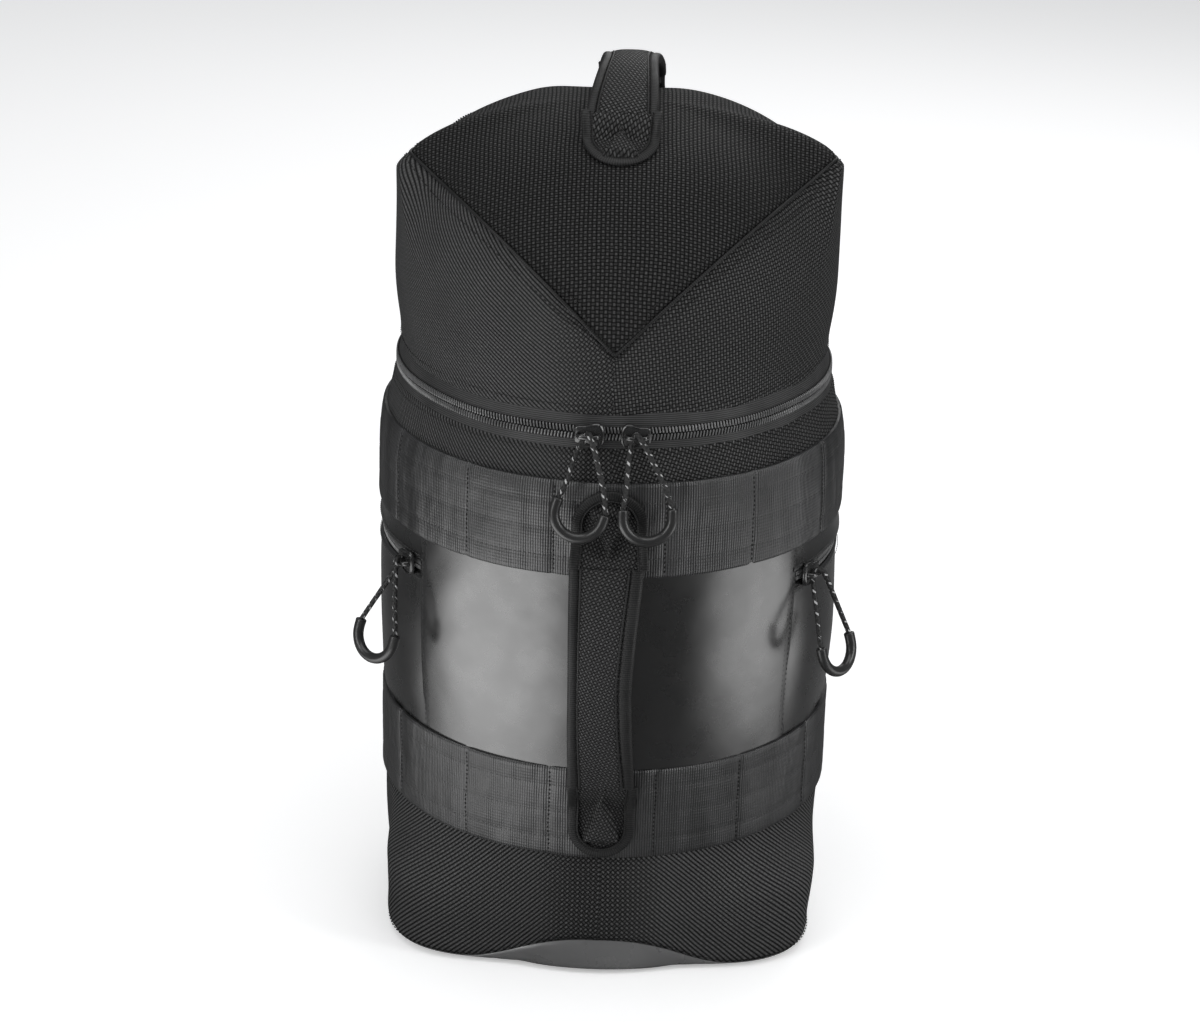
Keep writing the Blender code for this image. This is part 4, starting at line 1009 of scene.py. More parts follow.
def lid_points(s, m, inset=0.0):
    """Point on the lid at arc length s: m runs 0 to 1 up the wall and 1 to 2 over the dome."""
    x, y, _, _ = outline(s)
    wall_top = round_lid(x, y, WALL_TOP) + RIGHT_CORNER_RISE * lid_corner(x, y) * (x > 0)
    wall_z = LID_BOTTOM + np.minimum(m, 1) * (wall_top - LID_BOTTOM)
    pull = LID_CORNER_PULL * lid_corner(x, y) * smoothstep(wall_z, 0.42, 0.50)
    rim = on_side(s, wall_z, lid_wall(wall_z) + pull - inset)
    turn = np.clip(m - 1, 0, 1) * math.pi / 2
    share = np.cos(turn) ** (2 / DOME_POWER)
    centre = np.array((0, DOME_CENTRE, 0))
    point = centre + (rim - centre) * share[..., None]
    rise = np.sin(turn) ** (2 * round_lid(x, y, DOME_EASE))
    point[..., 2] = wall_z + (DOME_TOP - inset - wall_z) * rise
    return point


def seam_gap(s, m):
    """How far a lid point is above the V seam's plane."""
    p = lid_points(s, m)
    y = SEAM_MIRROR_Y - np.abs(p[..., 1] - SEAM_MIRROR_Y)
    height = p[..., 2] * math.cos(SEAM_TILT) + y * math.sin(SEAM_TILT)
    return height - SEAM_START - SEAM_SLOPE * np.abs(p[..., 0])


def seam_height(s):
    """m at which the seam crosses each column, by halving."""
    low, high = np.full_like(s, 0.05), np.full_like(s, 1.97)
    for _ in range(34):
        middle = (low + high) / 2
        above = seam_gap(s, middle) > 0
        high = np.where(above, middle, high)
        low = np.where(above, low, middle)
    return (low + high) / 2


def grid_normals(points, wrap=False):
    """Unit normals of a grid of points, turned away from its middle."""
    if wrap:
        padded = np.concatenate([points[:, -1:], points, points[:, :1]], axis=1)
        across = np.gradient(padded, axis=1)[:, 1:-1]
    else:
        across = np.gradient(points, axis=1)
    normal = unit(np.cross(across, np.gradient(points, axis=0)))
    facing = np.einsum("ijk,ijk->ij", normal, points - points.reshape(-1, 3).mean(axis=0))
    return normal * (1 if facing.sum() > 0 else -1)


def lid_ripple(s, z):
    return 0.0009 * ripple(s, z, 0.075, 91) * taper(s)


def lid_cloth(name, node, base, lift, uv, look, caps=False):
    normal = grid_normals(base[:, :-1], True)
    outer = base[:, :-1] + normal * lift[:, :-1, None]
    shell(name, outer, outer - normal * CLOTH, uv, look, "lid", True, caps, [node])


def build_lid():
    s = round_trip(0.0024)
    seam = seam_height(s)
    gs, share = np.meshgrid(s, ticks(0, 1, 0.030, edge=(0.005, 0.012, 0.025)))
    base = lid_points(gs, HEM_M + share * (seam - HEM_M))
    lift = lid_ripple(gs, base[..., 2]) - 0.0012 * bump_at(gs, 0, 0.004) * smoothstep(share, 0.1, 0.9)
    lift = lift - 0.0012 * bump_at((1 - share) * seam * 0.06, 0, 0.0022)
    lift = lift - 0.0006 * bump_at(share * seam * 0.07, 0, 0.0012)
    lid_cloth("lid_skirt_fabric", "lid_skirt", base, lift, np.stack([gs, base[..., 2]], -1), SKIRT_WEAVE)

    gs, share = np.meshgrid(s, np.concatenate([(0, 0.010, 0.022, 0.040), np.linspace(0.065, 0.97, 46)]))
    base = lid_points(gs, seam + (2 - seam) * share)
    lift = 0.0010 * ripple(base[..., 0], base[..., 1], 0.085, 95) * np.minimum(1, share * 8)
    lift += TOP_PUFF * (1 - np.exp(-share / 0.05)) - 0.0012 * bump_at(share, 0, 0.018)
    rise = base[..., 2] - LID_TOP
    uv = np.stack([base[..., 0], base[..., 1] + np.where(base[..., 1] < DOME_CENTRE, rise, -rise)], -1)
    lid_cloth("lid_top_fabric", "lid_top_panel", base, lift, uv, TOP_WEAVE, True)

    sweep("lid_piping", tube_rings(lid_points(s[:-1], seam[:-1]), 0.0011, 8, True), BINDING, "lid", True)
    for name, step in (("lower", -0.055), ("upper", 0.050)):
        line = lid_points(s, seam + step)
        near = lid_points(np.stack([s, s]), np.stack([seam + step - 0.01, seam + step + 0.01]))
        out = grid_normals(near)[0]
        lift = lid_ripple(s, line[..., 2])[:, None] if name == "lower" else TOP_SEAM_LIFT
        stitches(f"lid_seam_stitches_{name}", [(line + out * lift, out)], DARK_THREAD, "lid", SEAM_STITCH)
    height = LID_BOTTOM + 0.0090
    s = all_round(500)
    run = seam_run(s, height, lid_wall(height) + lid_ripple(s, s * 0 + height))
    stitches("lid_hem_stitches", [run], DARK_THREAD, "lid", PANEL_STITCH)

    shares = np.concatenate([np.linspace(0.01, 0.97, 16), np.linspace(1.04, 1.94, 26)])
    gs, m = np.meshgrid(round_trip(0.006), shares)
    for name, node, skin, thick, look in (("lid_padding", "lid_foam", 0.0042, 0.0060, FOAM),
                                          ("lid_inner_lining", "lid_lining", 0.0106, 0.0009, LINING)):
        outer, inner = lid_points(gs, m, skin), lid_points(gs, m, skin + thick)
        uv = np.stack([gs, outer[..., 2]], -1)
        shell(name, outer[:, :-1], inner[:, :-1], uv, look, "lid", True, True, [node])


def lid_height(x, y):
    """Height of the lid's fabric over a point of the plan near the bag's middle plane."""
    dx, dy = np.asarray(x, float), np.asarray(y, float) - DOME_CENTRE
    reach = np.maximum(np.hypot(dx, dy), 1e-9)
    ux, uy = dx / reach, dy / reach
    along = DOME_CENTRE * uy
    front = -along + np.sqrt(along**2 - DOME_CENTRE**2 + (RADIUS - WALL_INSET) ** 2)
    back = np.where(uy > 1e-6, (BACK_Y - WALL_INSET - DOME_CENTRE) / np.maximum(uy, 1e-6), 9.0)
    share = np.clip(reach / np.minimum(front, back), 0, 0.999)
    low, ease = round_lid(ux, uy, WALL_TOP), round_lid(ux, uy, DOME_EASE)
    return low + (DOME_TOP - low) * (1 - share**DOME_POWER) ** ease + TOP_PUFF


def over_lid(x, y, lift):
    """Points lift metres off the lid's fabric over the plan points x, y."""
    step = 1e-4
    slope_x = (lid_height(x + step, y) - lid_height(x - step, y)) / (2 * step)
    slope_y = (lid_height(x, y + step) - lid_height(x, y - step)) / (2 * step)
    normal = unit(np.stack([-slope_x, -slope_y, np.ones_like(slope_x)], -1))
    flat = np.stack(np.broadcast_arrays(np.asarray(x, float), y, lid_height(x, y)), -1)
    return flat + normal * np.asarray(lift)[..., None]


# --- Handles ------------------------------------------------------------------------------------------


def ease_between(values, t):
    """Smooth curve through values given at even steps of t from 0 to 1."""
    fine = np.linspace(0, 1, 61)
    line = np.interp(fine, np.linspace(0, 1, len(values)), values)
    soft = np.convolve(np.pad(line, 9, mode="edge"), np.hanning(19) / np.hanning(19).sum(), mode="valid")
    return np.interp(t, fine, soft)


def grip_handle(prefix, parent, body, centres, across, out, edges):
    """Padded sleeve with a taped edge and a raised line down each side. edges gives, at each station, the
    tape's outer and inner position on the left and the inner and outer ones on the right."""
    swell = 0.0046 + 0.0008 * np.sin(np.linspace(0, math.pi, len(centres)))
    length = run_length(centres)
    middle = len(centres) // 2
    halves = (("near", slice(0, middle + 1), 0, middle - 2, -1),
              ("far", slice(middle, None), -1, middle + 2, 0))
    for half, part, sewn, free, shared in halves:
        hold = bend_between(parent, body, centres[sewn], centres[free])
        c, a, o = centres[part], across[part], out[part]
        lo, li, ri, ro = (edge[part] for edge in edges)
        fit = {"run_from": length[part][0], "round_at": shared}
        stands_for = [f"{prefix}_sleeve", f"{prefix}_core"] if half == "near" else []
        sections = [flat_section(x - 0.0022, y + 0.0022, deep) for x, y, deep in zip(li, ri, swell[part])]
        rings = place_rings(c, a, o, sections)
        sweep(f"{prefix}_padding_{half}", rings, HANDLE_WEAVE, hold, nodes=stands_for, **fit)
        for side, inner, outer in (("left", li, lo), ("right", ri, ro)):
            name = f"{side}_{half}"
            stands_for = [f"{prefix}_binding_{side}"] if half == "near" else []
            sections = [flat_section(min(x, y), max(x, y), 0.0036, 10, 2.6) for x, y in zip(inner, outer)]
            rings = place_rings(c, a, o, sections)
            sweep(f"{prefix}_tape_{name}", rings, BINDING, hold, nodes=stands_for, **fit)
            line = c + a * inner[:, None] + o * 0.0036
            sweep(f"{prefix}_line_{name}", tube_rings(line, 0.00075, 7), BINDING, hold)
            thread = c + a * (inner * 0.82 + outer * 0.18)[:, None] + o * 0.0034
            stitches(f"{prefix}_thread_{name}", [(thread, o)], DARK_THREAD, hold, HANDLE_STITCH)


def triangle_puff(x, t, low, high, half):
    """A soft three-sided swelling with its base at low and its point at high, from 0 to 1."""
    side = half * (1 - (t - low) / (high - low)) - np.abs(x)
    soft = abs(high - low) * 0.16
    return smoothstep(side, -0.0002, half * 0.26) * smoothstep((t - low) * np.sign(high - low), 0, soft)


TAPE_HALF = 0.0033  # half the width of the binding round a tab


def sewn_tab(prefix, node, body, surface, start, end, half, lift_end, puff):
    """A sewn-down tab with a rounded end. surface(x, t, lift) gives its points over the cloth, with t from
    start, at the handle, to end, its free end. puff is (base, point, half-width) of the swelling."""
    way = 1 if end > start else -1
    length = abs(end - start)
    straight = length - half
    narrower = (half - TAPE_HALF) / half

    def lift_at(t):
        near = 1 - np.abs(t - start) / length
        return 0.0012 + lift_end * smoothstep(near, 0.62, 1.0)

    turn = np.linspace(0, math.pi, 25)
    legs = np.linspace(0, straight, 12)[:-1]
    x = np.concatenate([np.full(len(legs), -half), -half * np.cos(turn), np.full(len(legs), half)])
    t = start + way * np.concatenate([legs, straight + half * np.sin(turn), legs[::-1]])
    x = x * (half - TAPE_HALF) / half
    past = np.abs(t - start) - straight
    t = np.where(past > 0, start + way * (straight + past * narrower), t)
    centre = surface(x, t, lift_at(t) + 0.0008)
    tangent = unit(np.gradient(centre, axis=0))
    side_way = centre - surface(x * 0.96, t - way * 0.0006, lift_at(t) + 0.0008)
    side_way = unit(side_way - tangent * np.einsum("ij,ij->i", side_way, tangent)[:, None])
    out = np.cross(tangent, side_way)
    above = surface(x, t, lift_at(t) + 0.003)
    out *= np.sign(np.einsum("ij,ij->i", out, above - centre))[:, None]
    section = flat_section(-TAPE_HALF, TAPE_HALF, 0.0016, 10, 2.4)
    sweep(f"{prefix}_edge", place_rings(centre, side_way, out, section), BINDING, body)
    line = centre - side_way * TAPE_HALF * 0.92 + out * 0.0012
    sweep(f"{prefix}_line", tube_rings(line, 0.00065, 7), BINDING, body)
    thread = centre - side_way * TAPE_HALF * 0.45 + out * 0.0015
    stitches(f"{prefix}_thread", [(thread, out)], DARK_THREAD, body, TAB_STITCH)

    rows = []
    for share in np.linspace(0, 1, 34):
        along = share * (length - 0.0024)
        past = max(0.0, along - straight)
        width = (half - 0.0024) * math.sqrt(max(0.02, 1 - (past / (half - 0.0010)) ** 2))
        f = np.linspace(-1, 1, 27)
        rows.append(np.stack([f * width, np.full_like(f, start + way * along)], -1))
    plan = np.array(rows)
    x, t = plan[..., 0], plan[..., 1]
    swelling = 0.0058 * triangle_puff(x, t, *puff)
    dip = 0.0011 * bump_at(swelling, 0.0002, 0.0006)
    outer, inner = surface(x, t, lift_at(t) + 0.0012 + swelling - dip), surface(x, t, lift_at(t) * 0.25)
    shell(f"{prefix}_field", outer, inner, plan, HANDLE_WEAVE, body, nodes=[node])


# The front handle's tape edges from its lower end to its upper: outer and inner left, inner and outer right.
FRONT_EDGES = ((-0.0220, -0.0234, -0.0238, -0.0244, -0.0246), (-0.0142, -0.0160, -0.0167, -0.0170, -0.0173),
               (0.0127, 0.0090, 0.0069, 0.0094, 0.0131), (0.0202, 0.0178, 0.0162, 0.0186, 0.0222))
TOP_HALF_WIDTHS = (0.0228, 0.0198, 0.0175, 0.0190, 0.0218)
REAR_TAB_SHIFT = 0.0060  # the top handle leans to the right towards its rear tab


def build_front_handle():
    low, high = span("front_handle_sleeve")
    t = np.linspace(0, 1, 46)
    stand = 0.0035 + 0.0135 * np.sin(math.pi * t) ** 0.9
    centres = np.stack([t * 0, -(RADIUS + 0.0055 + stand), low + (high - low) * t], -1)
    twist = 0.16 * np.sin(math.pi * t)
    across = np.stack([np.cos(twist), -np.sin(twist), t * 0], -1)
    out = np.stack([-np.sin(twist), -np.cos(twist), t * 0], -1)
    edges = [ease_between(values, t) for values in FRONT_EDGES]
    grip_handle("front_handle", "bag", "front_handle", centres, across, out, edges)

    def surface(x, t, lift):
        return on_side(x, t, profile(t) + BAND_PROUD + lift)

    lower_low, lower_high = span("front_handle_tab_lower")
    upper_low, upper_high = span("front_handle_tab_upper")
    for end, start, stop, half, puff in (
        ("lower", lower_high + 0.0008, lower_low, 0.0212, (0.1000, 0.1385, 0.0135)),
        ("upper", upper_low - 0.0008, upper_high, 0.0230, (0.3330, 0.2995, 0.0145)),
    ):
        node = f"front_handle_tab_{end}"
        sewn_tab(f"front_tab_{end}", node, "bag", surface, start, stop, half, 0.0090, puff)


def build_top_handle():
    low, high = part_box("top_handle_sleeve")
    t = np.linspace(0, 1, 40)
    rise = 0.0015 + 0.0205 * np.sin(math.pi * t) ** 0.75
    lean = 0.0004 + REAR_TAB_SHIFT * np.sin(0.5 * math.pi * t)
    centres = np.stack([lean, low.y + (high.y - low.y) * t, high.z - 0.0045 - 0.0220 + rise], -1)
    across = np.broadcast_to((1.0, 0, 0), centres.shape)
    slope = np.gradient(centres[:, 2], centres[:, 1]) * 0.6
    out = unit(np.stack([t * 0, -slope, np.ones_like(t)], -1))
    wide = ease_between(TOP_HALF_WIDTHS, t)
    edges = [-wide, -(wide - 0.0070), wide - 0.0070, wide]
    grip_handle("top_handle", "lid", "top_handle", centres, across, out, edges)

    def rear_surface(x, t, lift):
        return over_lid(x + REAR_TAB_SHIFT, t, lift)

    front, rear = ([corner.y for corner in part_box(f"top_handle_tab_{end}")] for end in ("front", "rear"))
    for end, surface, start, stop, half, puff in (
        ("front", over_lid, front[1] + 0.0040, front[0] + 0.0020, 0.0236, (-0.0950, -0.0720, 0.0135)),
        ("rear", rear_surface, rear[0] - 0.0040, rear[1], 0.0218, (0.0670, 0.0440, 0.0130)),
    ):
        node = f"top_handle_tab_{end}"
        sewn_tab(f"top_tab_{end}", node, "lid", surface, start, stop, half, 0.0128, puff)


# --- Zip sliders and cord pulls -----------------------------------------------------------------------

SLIDER_OUTLINE = ((-0.0090, 0.0030), (-0.0086, 0.0043), (-0.0070, 0.0048), (-0.0020, 0.0050),
                  (0.0010, 0.0060), (0.0035, 0.0067), (0.0062, 0.0066), (0.0082, 0.0054),
                  (0.0092, 0.0034), (0.0095, 0.0012))
SLIDER_LEVELS = ((0.0002, 0.93), (0.0005, 1.0), (0.0016, 1.0), (0.0023, 0.97), (0.0027, 0.88))
BRIDGE = ((-0.0072, 0.0012), (-0.0070, 0.0040), (-0.0056, 0.0062), (-0.0030, 0.0071), (0.0000, 0.0073),
          (0.0030, 0.0071), (0.0054, 0.0060), (0.0066, 0.0040), (0.0068, 0.0012))
CORD_RADIUS, BORE_RADIUS, GRIP_RADIUS = 0.00168, 0.0021, 0.0034
GRIP_BEND = 0.0153  # radius of the bend in a pull's grip
CORD_WRAP, CORD_HALF_GAP, CORD_OUT = 0.0031, 0.0022, 0.0016


def joint(name):
    return next(j for j in frame["joints"] if j["name"] == name)


def slider_axes(name):
    """Where a pull hangs from its slider: the bar, the way along the zip to the right, and outward."""
    bar = np.array(joint(name)["pos_m"], float)
    out = bar * (1, 1, 0) / np.hypot(bar[0], bar[1])
    return bar, np.cross((0, 0, 1), out), out


def build_slider(name, bar, along, out, nose):
    """Slider with a tapered body, a round nose and a strap-shaped bridge. nose points to the closed end."""
    half = np.array(SLIDER_OUTLINE) * (1.0, 1.18)
    loop = np.concatenate([half, (half * (1, -1))[::-1]])
    floor = bar - out * 0.0070

    def at(a, b, level):
        return floor + along * nose * a + UP * b + out * level

    rings = [[at(a * size, b * size, level) for a, b in loop] for level, size in SLIDER_LEVELS]
    sweep(f"{name}_plate", rings, SLIDER, name, nodes=[name])
    path = smooth_path([at(a, 0, level) for a, level in BRIDGE], 40)
    lift = np.cross(UP, unit(np.gradient(path, axis=0)))
    turn = np.linspace(0, 2 * math.pi, 12, endpoint=False)
    wide = 0.0019 - 0.0005 * np.sin(np.linspace(0, math.pi, len(path)))
    rings = [p + np.outer(np.cos(turn) * w, UP) + np.outer(np.sin(turn) * 0.0008, n)
             for p, w, n in zip(path, wide, lift)]
    sweep(f"{name}_bridge", rings, SLIDER, name)
    ridge = [at(a, b, 0.0026) for a, b in half[3:]] + [at(a, -b, 0.0026) for a, b in half[3:][::-1]]
    ridge = floor + (smooth_path(ridge, 40) - floor) * 0.90 + out * 0.0003
    sweep(f"{name}_rim", tube_rings(ridge, 0.00055, 6), SLIDER, name)


def pull_outline(drop):
    """The cord's loop as (along, out, up) points from its bar, and where its lower bend starts and ends."""
    points = []
    for turn in np.linspace(math.pi, 0, 7):
        side = -CORD_HALF_GAP + 2 * CORD_HALF_GAP * (1 - turn / math.pi)
        points.append((side, CORD_WRAP * math.cos(turn), CORD_WRAP * math.sin(turn) - 0.0004))
    top = -drop + 0.0045

    def leg(side, share):
        wide = CORD_HALF_GAP + (GRIP_BEND - CORD_HALF_GAP) * share**0.85
        return side * wide, side * CORD_WRAP * (1 - share) + CORD_OUT * share, top * share

    shares = (0.16, 0.36, 0.56, 0.78)
    points += [leg(1, share) for share in shares]
    first = len(points)
    points.append((GRIP_BEND, CORD_OUT, top))
    for t in np.linspace(0, -math.pi, 13):
        points.append((GRIP_BEND * math.cos(t), CORD_OUT, -drop + GRIP_BEND * math.sin(t)))
    points.append((-GRIP_BEND, CORD_OUT, top))
    bend = slice(first, len(points))
    return points + [leg(-1, share) for share in shares[::-1]], bend


def build_pull(name, bar, along, out, drop, tilt, lean, twist, grip_turn):
    """Cord looped through a slider's bridge, with a curved tube over its lower bend."""
    points, bend = pull_outline(drop)
    pose = (Matrix.Rotation(math.radians(tilt), 3, Vector(-along))
            @ Matrix.Rotation(math.radians(lean), 3, Vector(out)))
    made = []
    for a, o, z in points:
        share = min(1.0, max(0.0, -z / drop))
        soft = share * share * (3 - 2 * share)
        spin, swirl = math.radians(grip_turn) * soft, math.radians(twist) * soft
        dz = z + drop
        z = a * math.sin(spin) + dz * math.cos(spin) - drop
        a = a * math.cos(spin) - dz * math.sin(spin) * soft
        place = along * (a * math.cos(swirl) - o * math.sin(swirl))
        place = place + out * (a * math.sin(swirl) + o * math.cos(swirl))
        made.append(bar + np.array(pose @ Vector(place + UP * z)))
    cord = tube_rings(smooth_path(made, 150, closed=True), CORD_RADIUS, 10, True)
    sweep(f"{name}_braid", cord, CORD, name, True, 1.0, nodes=[f"{name}_cord"])
    path = smooth_path(made[bend], 54)
    fade = 0.00012 * np.exp(-np.linspace(0, 12, 54))
    flare = GRIP_RADIUS + fade + fade[::-1]
    tube, bore = tube_rings(path, flare, 18), tube_rings(path, BORE_RADIUS, 18)
    start, end = unit(path[0] - path[1]) * 0.0005, unit(path[-1] - path[-2]) * 0.0005
    lips = [path[[k]] + (tube[k] - path[k]) * 0.86 for k in (0, -1)]
    tube = np.concatenate([[lips[0] + start], tube, [lips[1] + end]])
    bore = np.concatenate([[bore[0] + start], bore, [bore[-1] + end]])
    sweep(f"{name}_tube", tube, GRIP, name, hollow=bore, nodes=[f"{name}_grip"])


def build_zip_hardware():
    # For each pull: its drop, tilt outwards, lean, twist about the upright and turn of its grip.
    hang = {"main_left": (0.0470, 11.0, -4.0, 0.0, -14.0), "main_right": (0.0485, 11.0, 8.0, 0.0, -8.0),
            "pocket_left": (0.0500, 17.0, 0.0, -18.0, 0.0), "pocket_right": (0.0500, 17.0, 0.0, 7.0, 0.0)}
    for side, sign in SIDES:
        for zip_name in ("main", "pocket"):
            axes = slider_axes(f"{zip_name}_pull_swing_{side}")
            build_slider(f"{zip_name}_slider_{side}", *axes, -sign)
            build_pull(f"{zip_name}_pull_{side}", *axes, *hang[f"{zip_name}_{side}"])


# --- Back pads and shoulder straps --------------------------------------------------------------------

WEB_HALF = 0.0125
STRAP_HALF = 0.028


def cushion(name, centre, half_x, half_z, thick, look, nodes):
    """A crowned pad on the back, with rounded corners and two sewn channels across it."""
    turns = np.linspace(0, 2 * math.pi, 97)
    c, s = np.cos(turns), np.sin(turns)
    rows = []
    for share in (1.0, 0.985, 0.96, 0.92, 0.86, 0.78, 0.68, 0.56, 0.44, 0.32, 0.20, 0.10):
        x = half_x * share * np.sign(c) * np.abs(c) ** 0.35
        z = half_z * share * np.sign(s) * np.abs(s) ** (0.35 + 0.1 * (1 - share))
        channel = sum(bump_at(z, k * half_z * 0.36, 0.004) for k in (-1, 1))
        y = 0.0006 + thick * (1 - share**7) ** 0.5 * (1 - 0.42 * channel * (share < 0.97))
        rows.append(np.stack([centre[0] + x, centre[1] + y, centre[2] + z], -1))
    rows = np.array(rows)
    outer, inner = rows[:, :-1], rows[:, :-1].copy()
    inner[..., 1] = centre[1]
    shell(name, outer, inner, rows[..., [0, 2]], look, "bag", True, True, nodes)


def build_back():
    for side, sign in SIDES:
        low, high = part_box(f"back_pad_{side}")
        centre = ((low.x + high.x) / 2, low.y - 0.0004, (low.z + high.z) / 2)
        cushion(f"back_cushion_{side}", centre, (high.x - low.x) / 2 + 0.001, (high.z - low.z) / 2,
                high.y - low.y, MESH, [f"back_pad_{side}"])
        build_strap(side, *strap_line(side, sign))


def strap_line(side, sign):
    """Centres and outward directions of a shoulder strap, from its sewn top to its foot."""
    swing = joint(f"strap_swing_{side}")
    top, axis = np.array(swing["pos_m"], float), np.array(swing["axis"], float)
    foot = top - axis * (top[2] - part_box(f"strap_web_{side}")[0].z) / axis[2]
    share = np.linspace(0, 1, 101)
    points = top + (foot - top) * share[:, None]
    points[:, 0] -= sign * 0.006 * np.sin(math.pi * share)
    points[:, 1] += 0.040 * np.sin(math.pi * share) ** 0.75
    ahead = np.cos(math.pi * np.clip(share, 0.03, 0.97))
    return points, unit(np.stack([share * 0, np.ones_like(share), 0.35 * ahead], -1))


def build_strap(side, points, out):
    body = f"strap_{side}"
    across = np.broadcast_to((1.0, 0, 0), points.shape)

    def strip(name, part, centres, section, look, nodes=()):
        rings = place_rings(centres, across[part], out[part], section)
        sweep(f"{body}_{name}", rings, look, body, nodes=nodes)

    padded, web_top, web_low = slice(0, 71), slice(8, 66), slice(74, 101)
    t = np.linspace(0, 1, 71)
    wide = STRAP_HALF * (1 - 0.35 * smoothstep(t, 0.72, 1.0) - 0.40 * (1 - smoothstep(t, 0.0, 0.22)))
    thick = 0.0055 * np.clip(1.15 - np.abs(2 * t - 1) ** 6, 0.35, 1)
    sections = [flat_section(-w, w, h, 16, 3.2) for w, h in zip(wide, thick)]
    strip("padding", padded, points[padded], sections, MESH, [f"strap_pad_{side}"])
    for name, edge in (("inner", -1), ("outer", 1)):
        line = points[padded] + across[padded] * (wide * edge)[:, None]
        strip(f"tape_{name}", padded, line, flat_section(-0.0022, 0.0022, 0.0030, 8, 2.2), BINDING)
    centre = points[web_top] + out[web_top] * (thick[web_top, None] + 0.0006)
    strip("web_top", web_top, centre, flat_section(-WEB_HALF, WEB_HALF, 0.0009, 8, 4.0), STRAP_WEBBING)
    tacks = [(centre + across[web_top] * k + out[web_top] * 0.0010, out[web_top]) for k in (-0.0105, 0.0105)]
    stitches(f"{body}_web_stitches", tacks, THREAD, body, PANEL_STITCH)
    section = flat_section(-WEB_HALF, WEB_HALF, 0.0010, 8, 4.0)
    strip("web_low", web_low, points[web_low], section, STRAP_WEBBING, [f"strap_web_{side}"])
    lock = frame["nodes"][f"ladder_lock_{side}"]
    lock.data.materials.clear()
    lock.data.materials.append(BUCKLE[0])
    edge = lock.modifiers.new("edges", "BEVEL")
    edge.width, edge.segments, edge.limit_method = 0.0006, 2, "ANGLE"
    build_strap_ends(side, points)


def build_strap_ends(side, points):
    """The sewn patches at a strap's two ends."""
    face = BACK_Y + 0.0030
    for name, end, inward, reach, half in (("top", points[0], points[4], 1, 0.019),
                                           ("foot", points[-1], points[-5], -1, 0.0135)):
        x, y, z = end
        path = smooth_path([(x, face, z + reach * 0.020), (x, face + 0.0004, z + reach * 0.010),
                            (x, (face + y) / 2, z + reach * 0.001), tuple(inward)], 24)
        across = np.broadcast_to((1.0, 0, 0), path.shape)
        normal = np.cross(unit(np.gradient(path, axis=0)), across)
        rings = place_rings(path, across, normal, flat_section(-half, half, 0.0012, 10, 4.0))
        hold = bend_between("bag", f"strap_{side}", path[8], path[-1])
        sweep(f"strap_{name}_patch_{side}", rings, STRAP_WEBBING, hold)


# --- Build everything ---------------------------------------------------------------------------------

build_base()
build_boot()
build_band("lower_webbing", "lower_band", LOWER_BAND, 5)
build_band("upper_webbing", "upper_band", UPPER_BAND, 6)
build_front_panel()
build_pockets()
build_back_panel()
build_collar()
build_main_zip()
build_hinge_strip()
build_inside()
build_lid()
build_front_handle()
build_top_handle()
build_zip_hardware()
build_back()

# --- Floor, light and camera --------------------------------------------------------------------------

CAMERA_PLACE = Vector((-0.0064, -2.1, 1.1168))
CAMERA_PITCH, CAMERA_ROLL, LENS = 68.0, 1.65, 102.8
CARD_TONE = 0.01
LAMPS = {  # place, aim, size and watts
    "overhead": ((0, -0.3, 2.6), (0, 0, 0.2), (2.4, 2.2), 26),
    "left_strip": ((-1.5, -1.3, 1.0), (0, 0, 0.28), (0.7, 1.7), 14),
    "right_strip": ((1.6, -0.75, 0.9), (0, 0, 0.28), (0.5, 1.6), 12),
    "back_strip": ((0.5, 1.9, 1.5), (0, 0, 0.3), (1.6, 1.2), 12),
}


def flat_sheet(name, centre, size):
    """A level rectangle that is staged, not part of the object."""
    x, y = size[0] / 2, size[1] / 2
    mesh = bpy.data.meshes.new(name)
    mesh.from_pydata([(-x, -y, 0), (x, -y, 0), (x, y, 0), (-x, y, 0)], [], [(0, 1, 2, 3)])
    sheet = bpy.data.objects.new(name, mesh)
    sheet.location = centre
    bpy.context.scene.collection.objects.link(sheet)
    return sheet


def build_floor(tone, reflected, glow):
    """The pale floor. It is darker in reflections, where cards stand for it, and glows a little in view."""
    floor = flat_sheet("studio_floor", (0, 0, -0.0004), (30, 30))
    g = Graph("studio_floor")
    g.glow(g.ray("Is Camera Ray") * glow)
    seen = g.ramp(g.noise(3.0), 0.3, 0.7, tone * 0.995, tone)
    floor.data.materials.append(g.finish(g.grey(g.mix(g.ray("Is Glossy Ray"), seen, reflected)), 0.6))


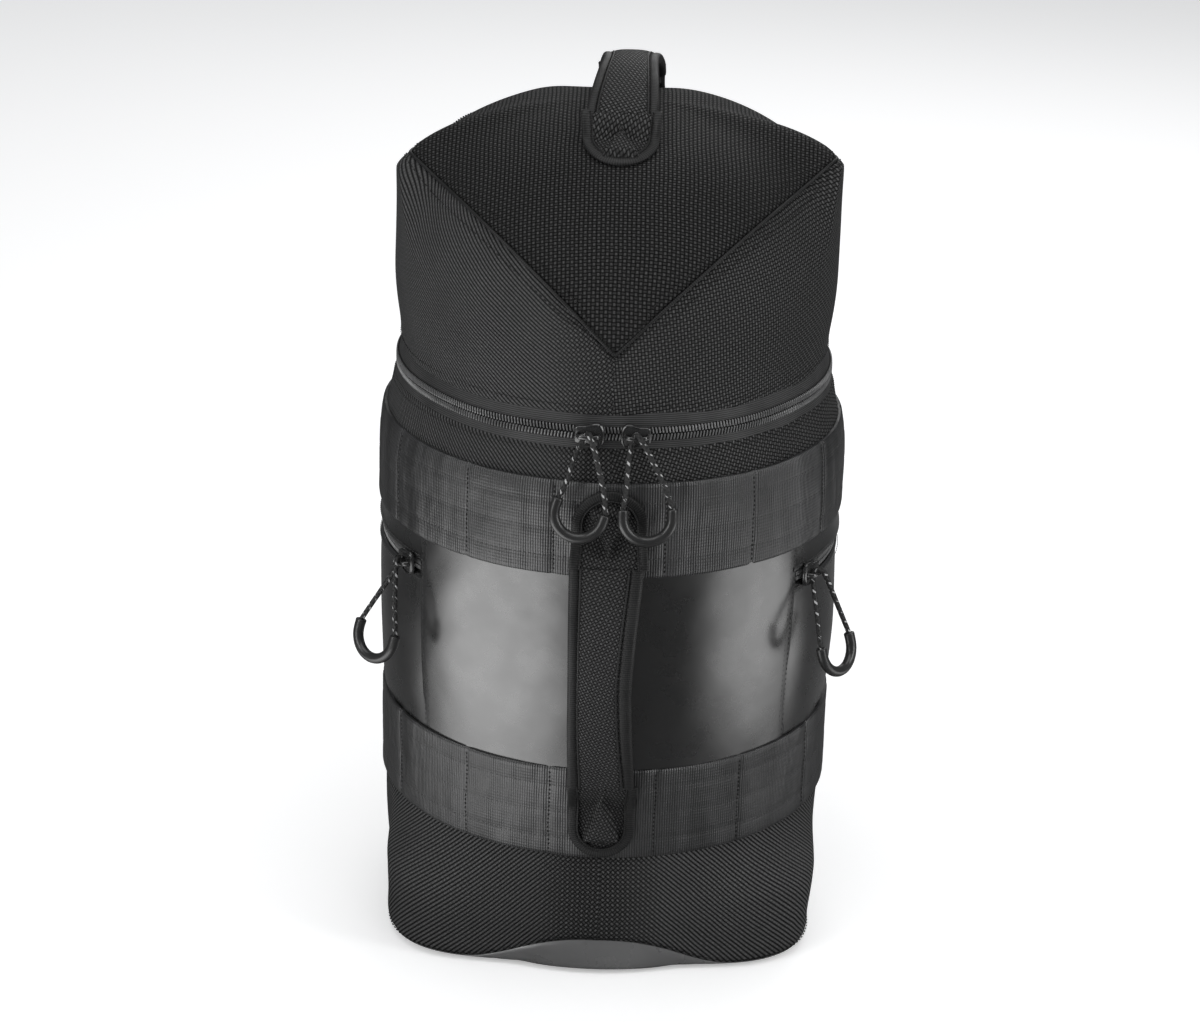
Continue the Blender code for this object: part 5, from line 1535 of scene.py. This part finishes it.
def glow_card(name, centre, size, power):
    """A bright card with soft edges, level above the floor, that only glossy surfaces pick up."""
    card = flat_sheet(name, centre, size)
    g = Graph(name)
    x, y = (value * (2 / width) for value, width in zip(g.split(g.place()), size))
    reach = g.math("SQRT", x * x + y * y)
    g.glow(g.ramp(reach, 0.45, 1.0, 1.0, 0.0) * power)
    g.finish_with({"Alpha": g.ramp(reach, 0.6, 1.0, 1.0, 0.0)})
    card.data.materials.append(g.finish(g.grey(CARD_TONE), 0.9))
    card.visible_camera = card.visible_diffuse = card.visible_shadow = card.visible_transmission = False


def softbox(name, place, aim, size, watts):
    lamp = bpy.data.lights.new(name, "AREA")
    lamp.shape, lamp.size, lamp.size_y = "RECTANGLE", *size
    lamp.energy = watts
    holder = bpy.data.objects.new(name, lamp)
    holder.location = place
    holder.rotation_euler = (Vector(aim) - Vector(place)).to_track_quat("-Z", "Y").to_euler()
    holder.visible_camera = False
    bpy.context.scene.collection.objects.link(holder)


def build_world(tone, strength, reflected):
    """Even light from all round, dimmer in reflections."""
    world = bpy.data.worlds.new("studio")
    world.use_nodes = True
    nodes, links = world.node_tree.nodes, world.node_tree.links
    nodes["Background"].inputs["Color"].default_value = tone
    path, dim = nodes.new("ShaderNodeLightPath"), nodes.new("ShaderNodeMapRange")
    dim.inputs["To Min"].default_value, dim.inputs["To Max"].default_value = strength, reflected
    links.new(path.outputs["Is Glossy Ray"], dim.inputs["Value"])
    links.new(dim.outputs[0], nodes["Background"].inputs["Strength"])
    bpy.context.scene.world = world


def build_camera():
    lens = bpy.data.cameras.new("camera")
    lens.lens, lens.sensor_width = LENS, 36.0
    lens.clip_start, lens.clip_end = 0.05, 60
    camera = bpy.data.objects.new("camera", lens)
    pitch = Matrix.Rotation(math.radians(CAMERA_PITCH), 4, "X")
    roll = Matrix.Rotation(math.radians(CAMERA_ROLL), 4, "Z")
    camera.matrix_world = Matrix.Translation(CAMERA_PLACE) @ pitch @ roll
    bpy.context.scene.collection.objects.link(camera)
    bpy.context.scene.camera = camera


build_floor(0.93, 0.10, 0.36)
glow_card("left_card", (-0.52, -0.46, 0.004), (1.15, 1.10), 2.9)
glow_card("right_card", (0.68, -0.24, 0.005), (0.86, 0.86), 1.9)
for name, lamp in LAMPS.items():
    softbox(name, *lamp)
build_world((0.95, 0.97, 1.0, 1), 0.30, 0.10)
build_camera()
bpy.context.scene.view_settings.view_transform = "Standard"
bpy.context.view_layer.update()
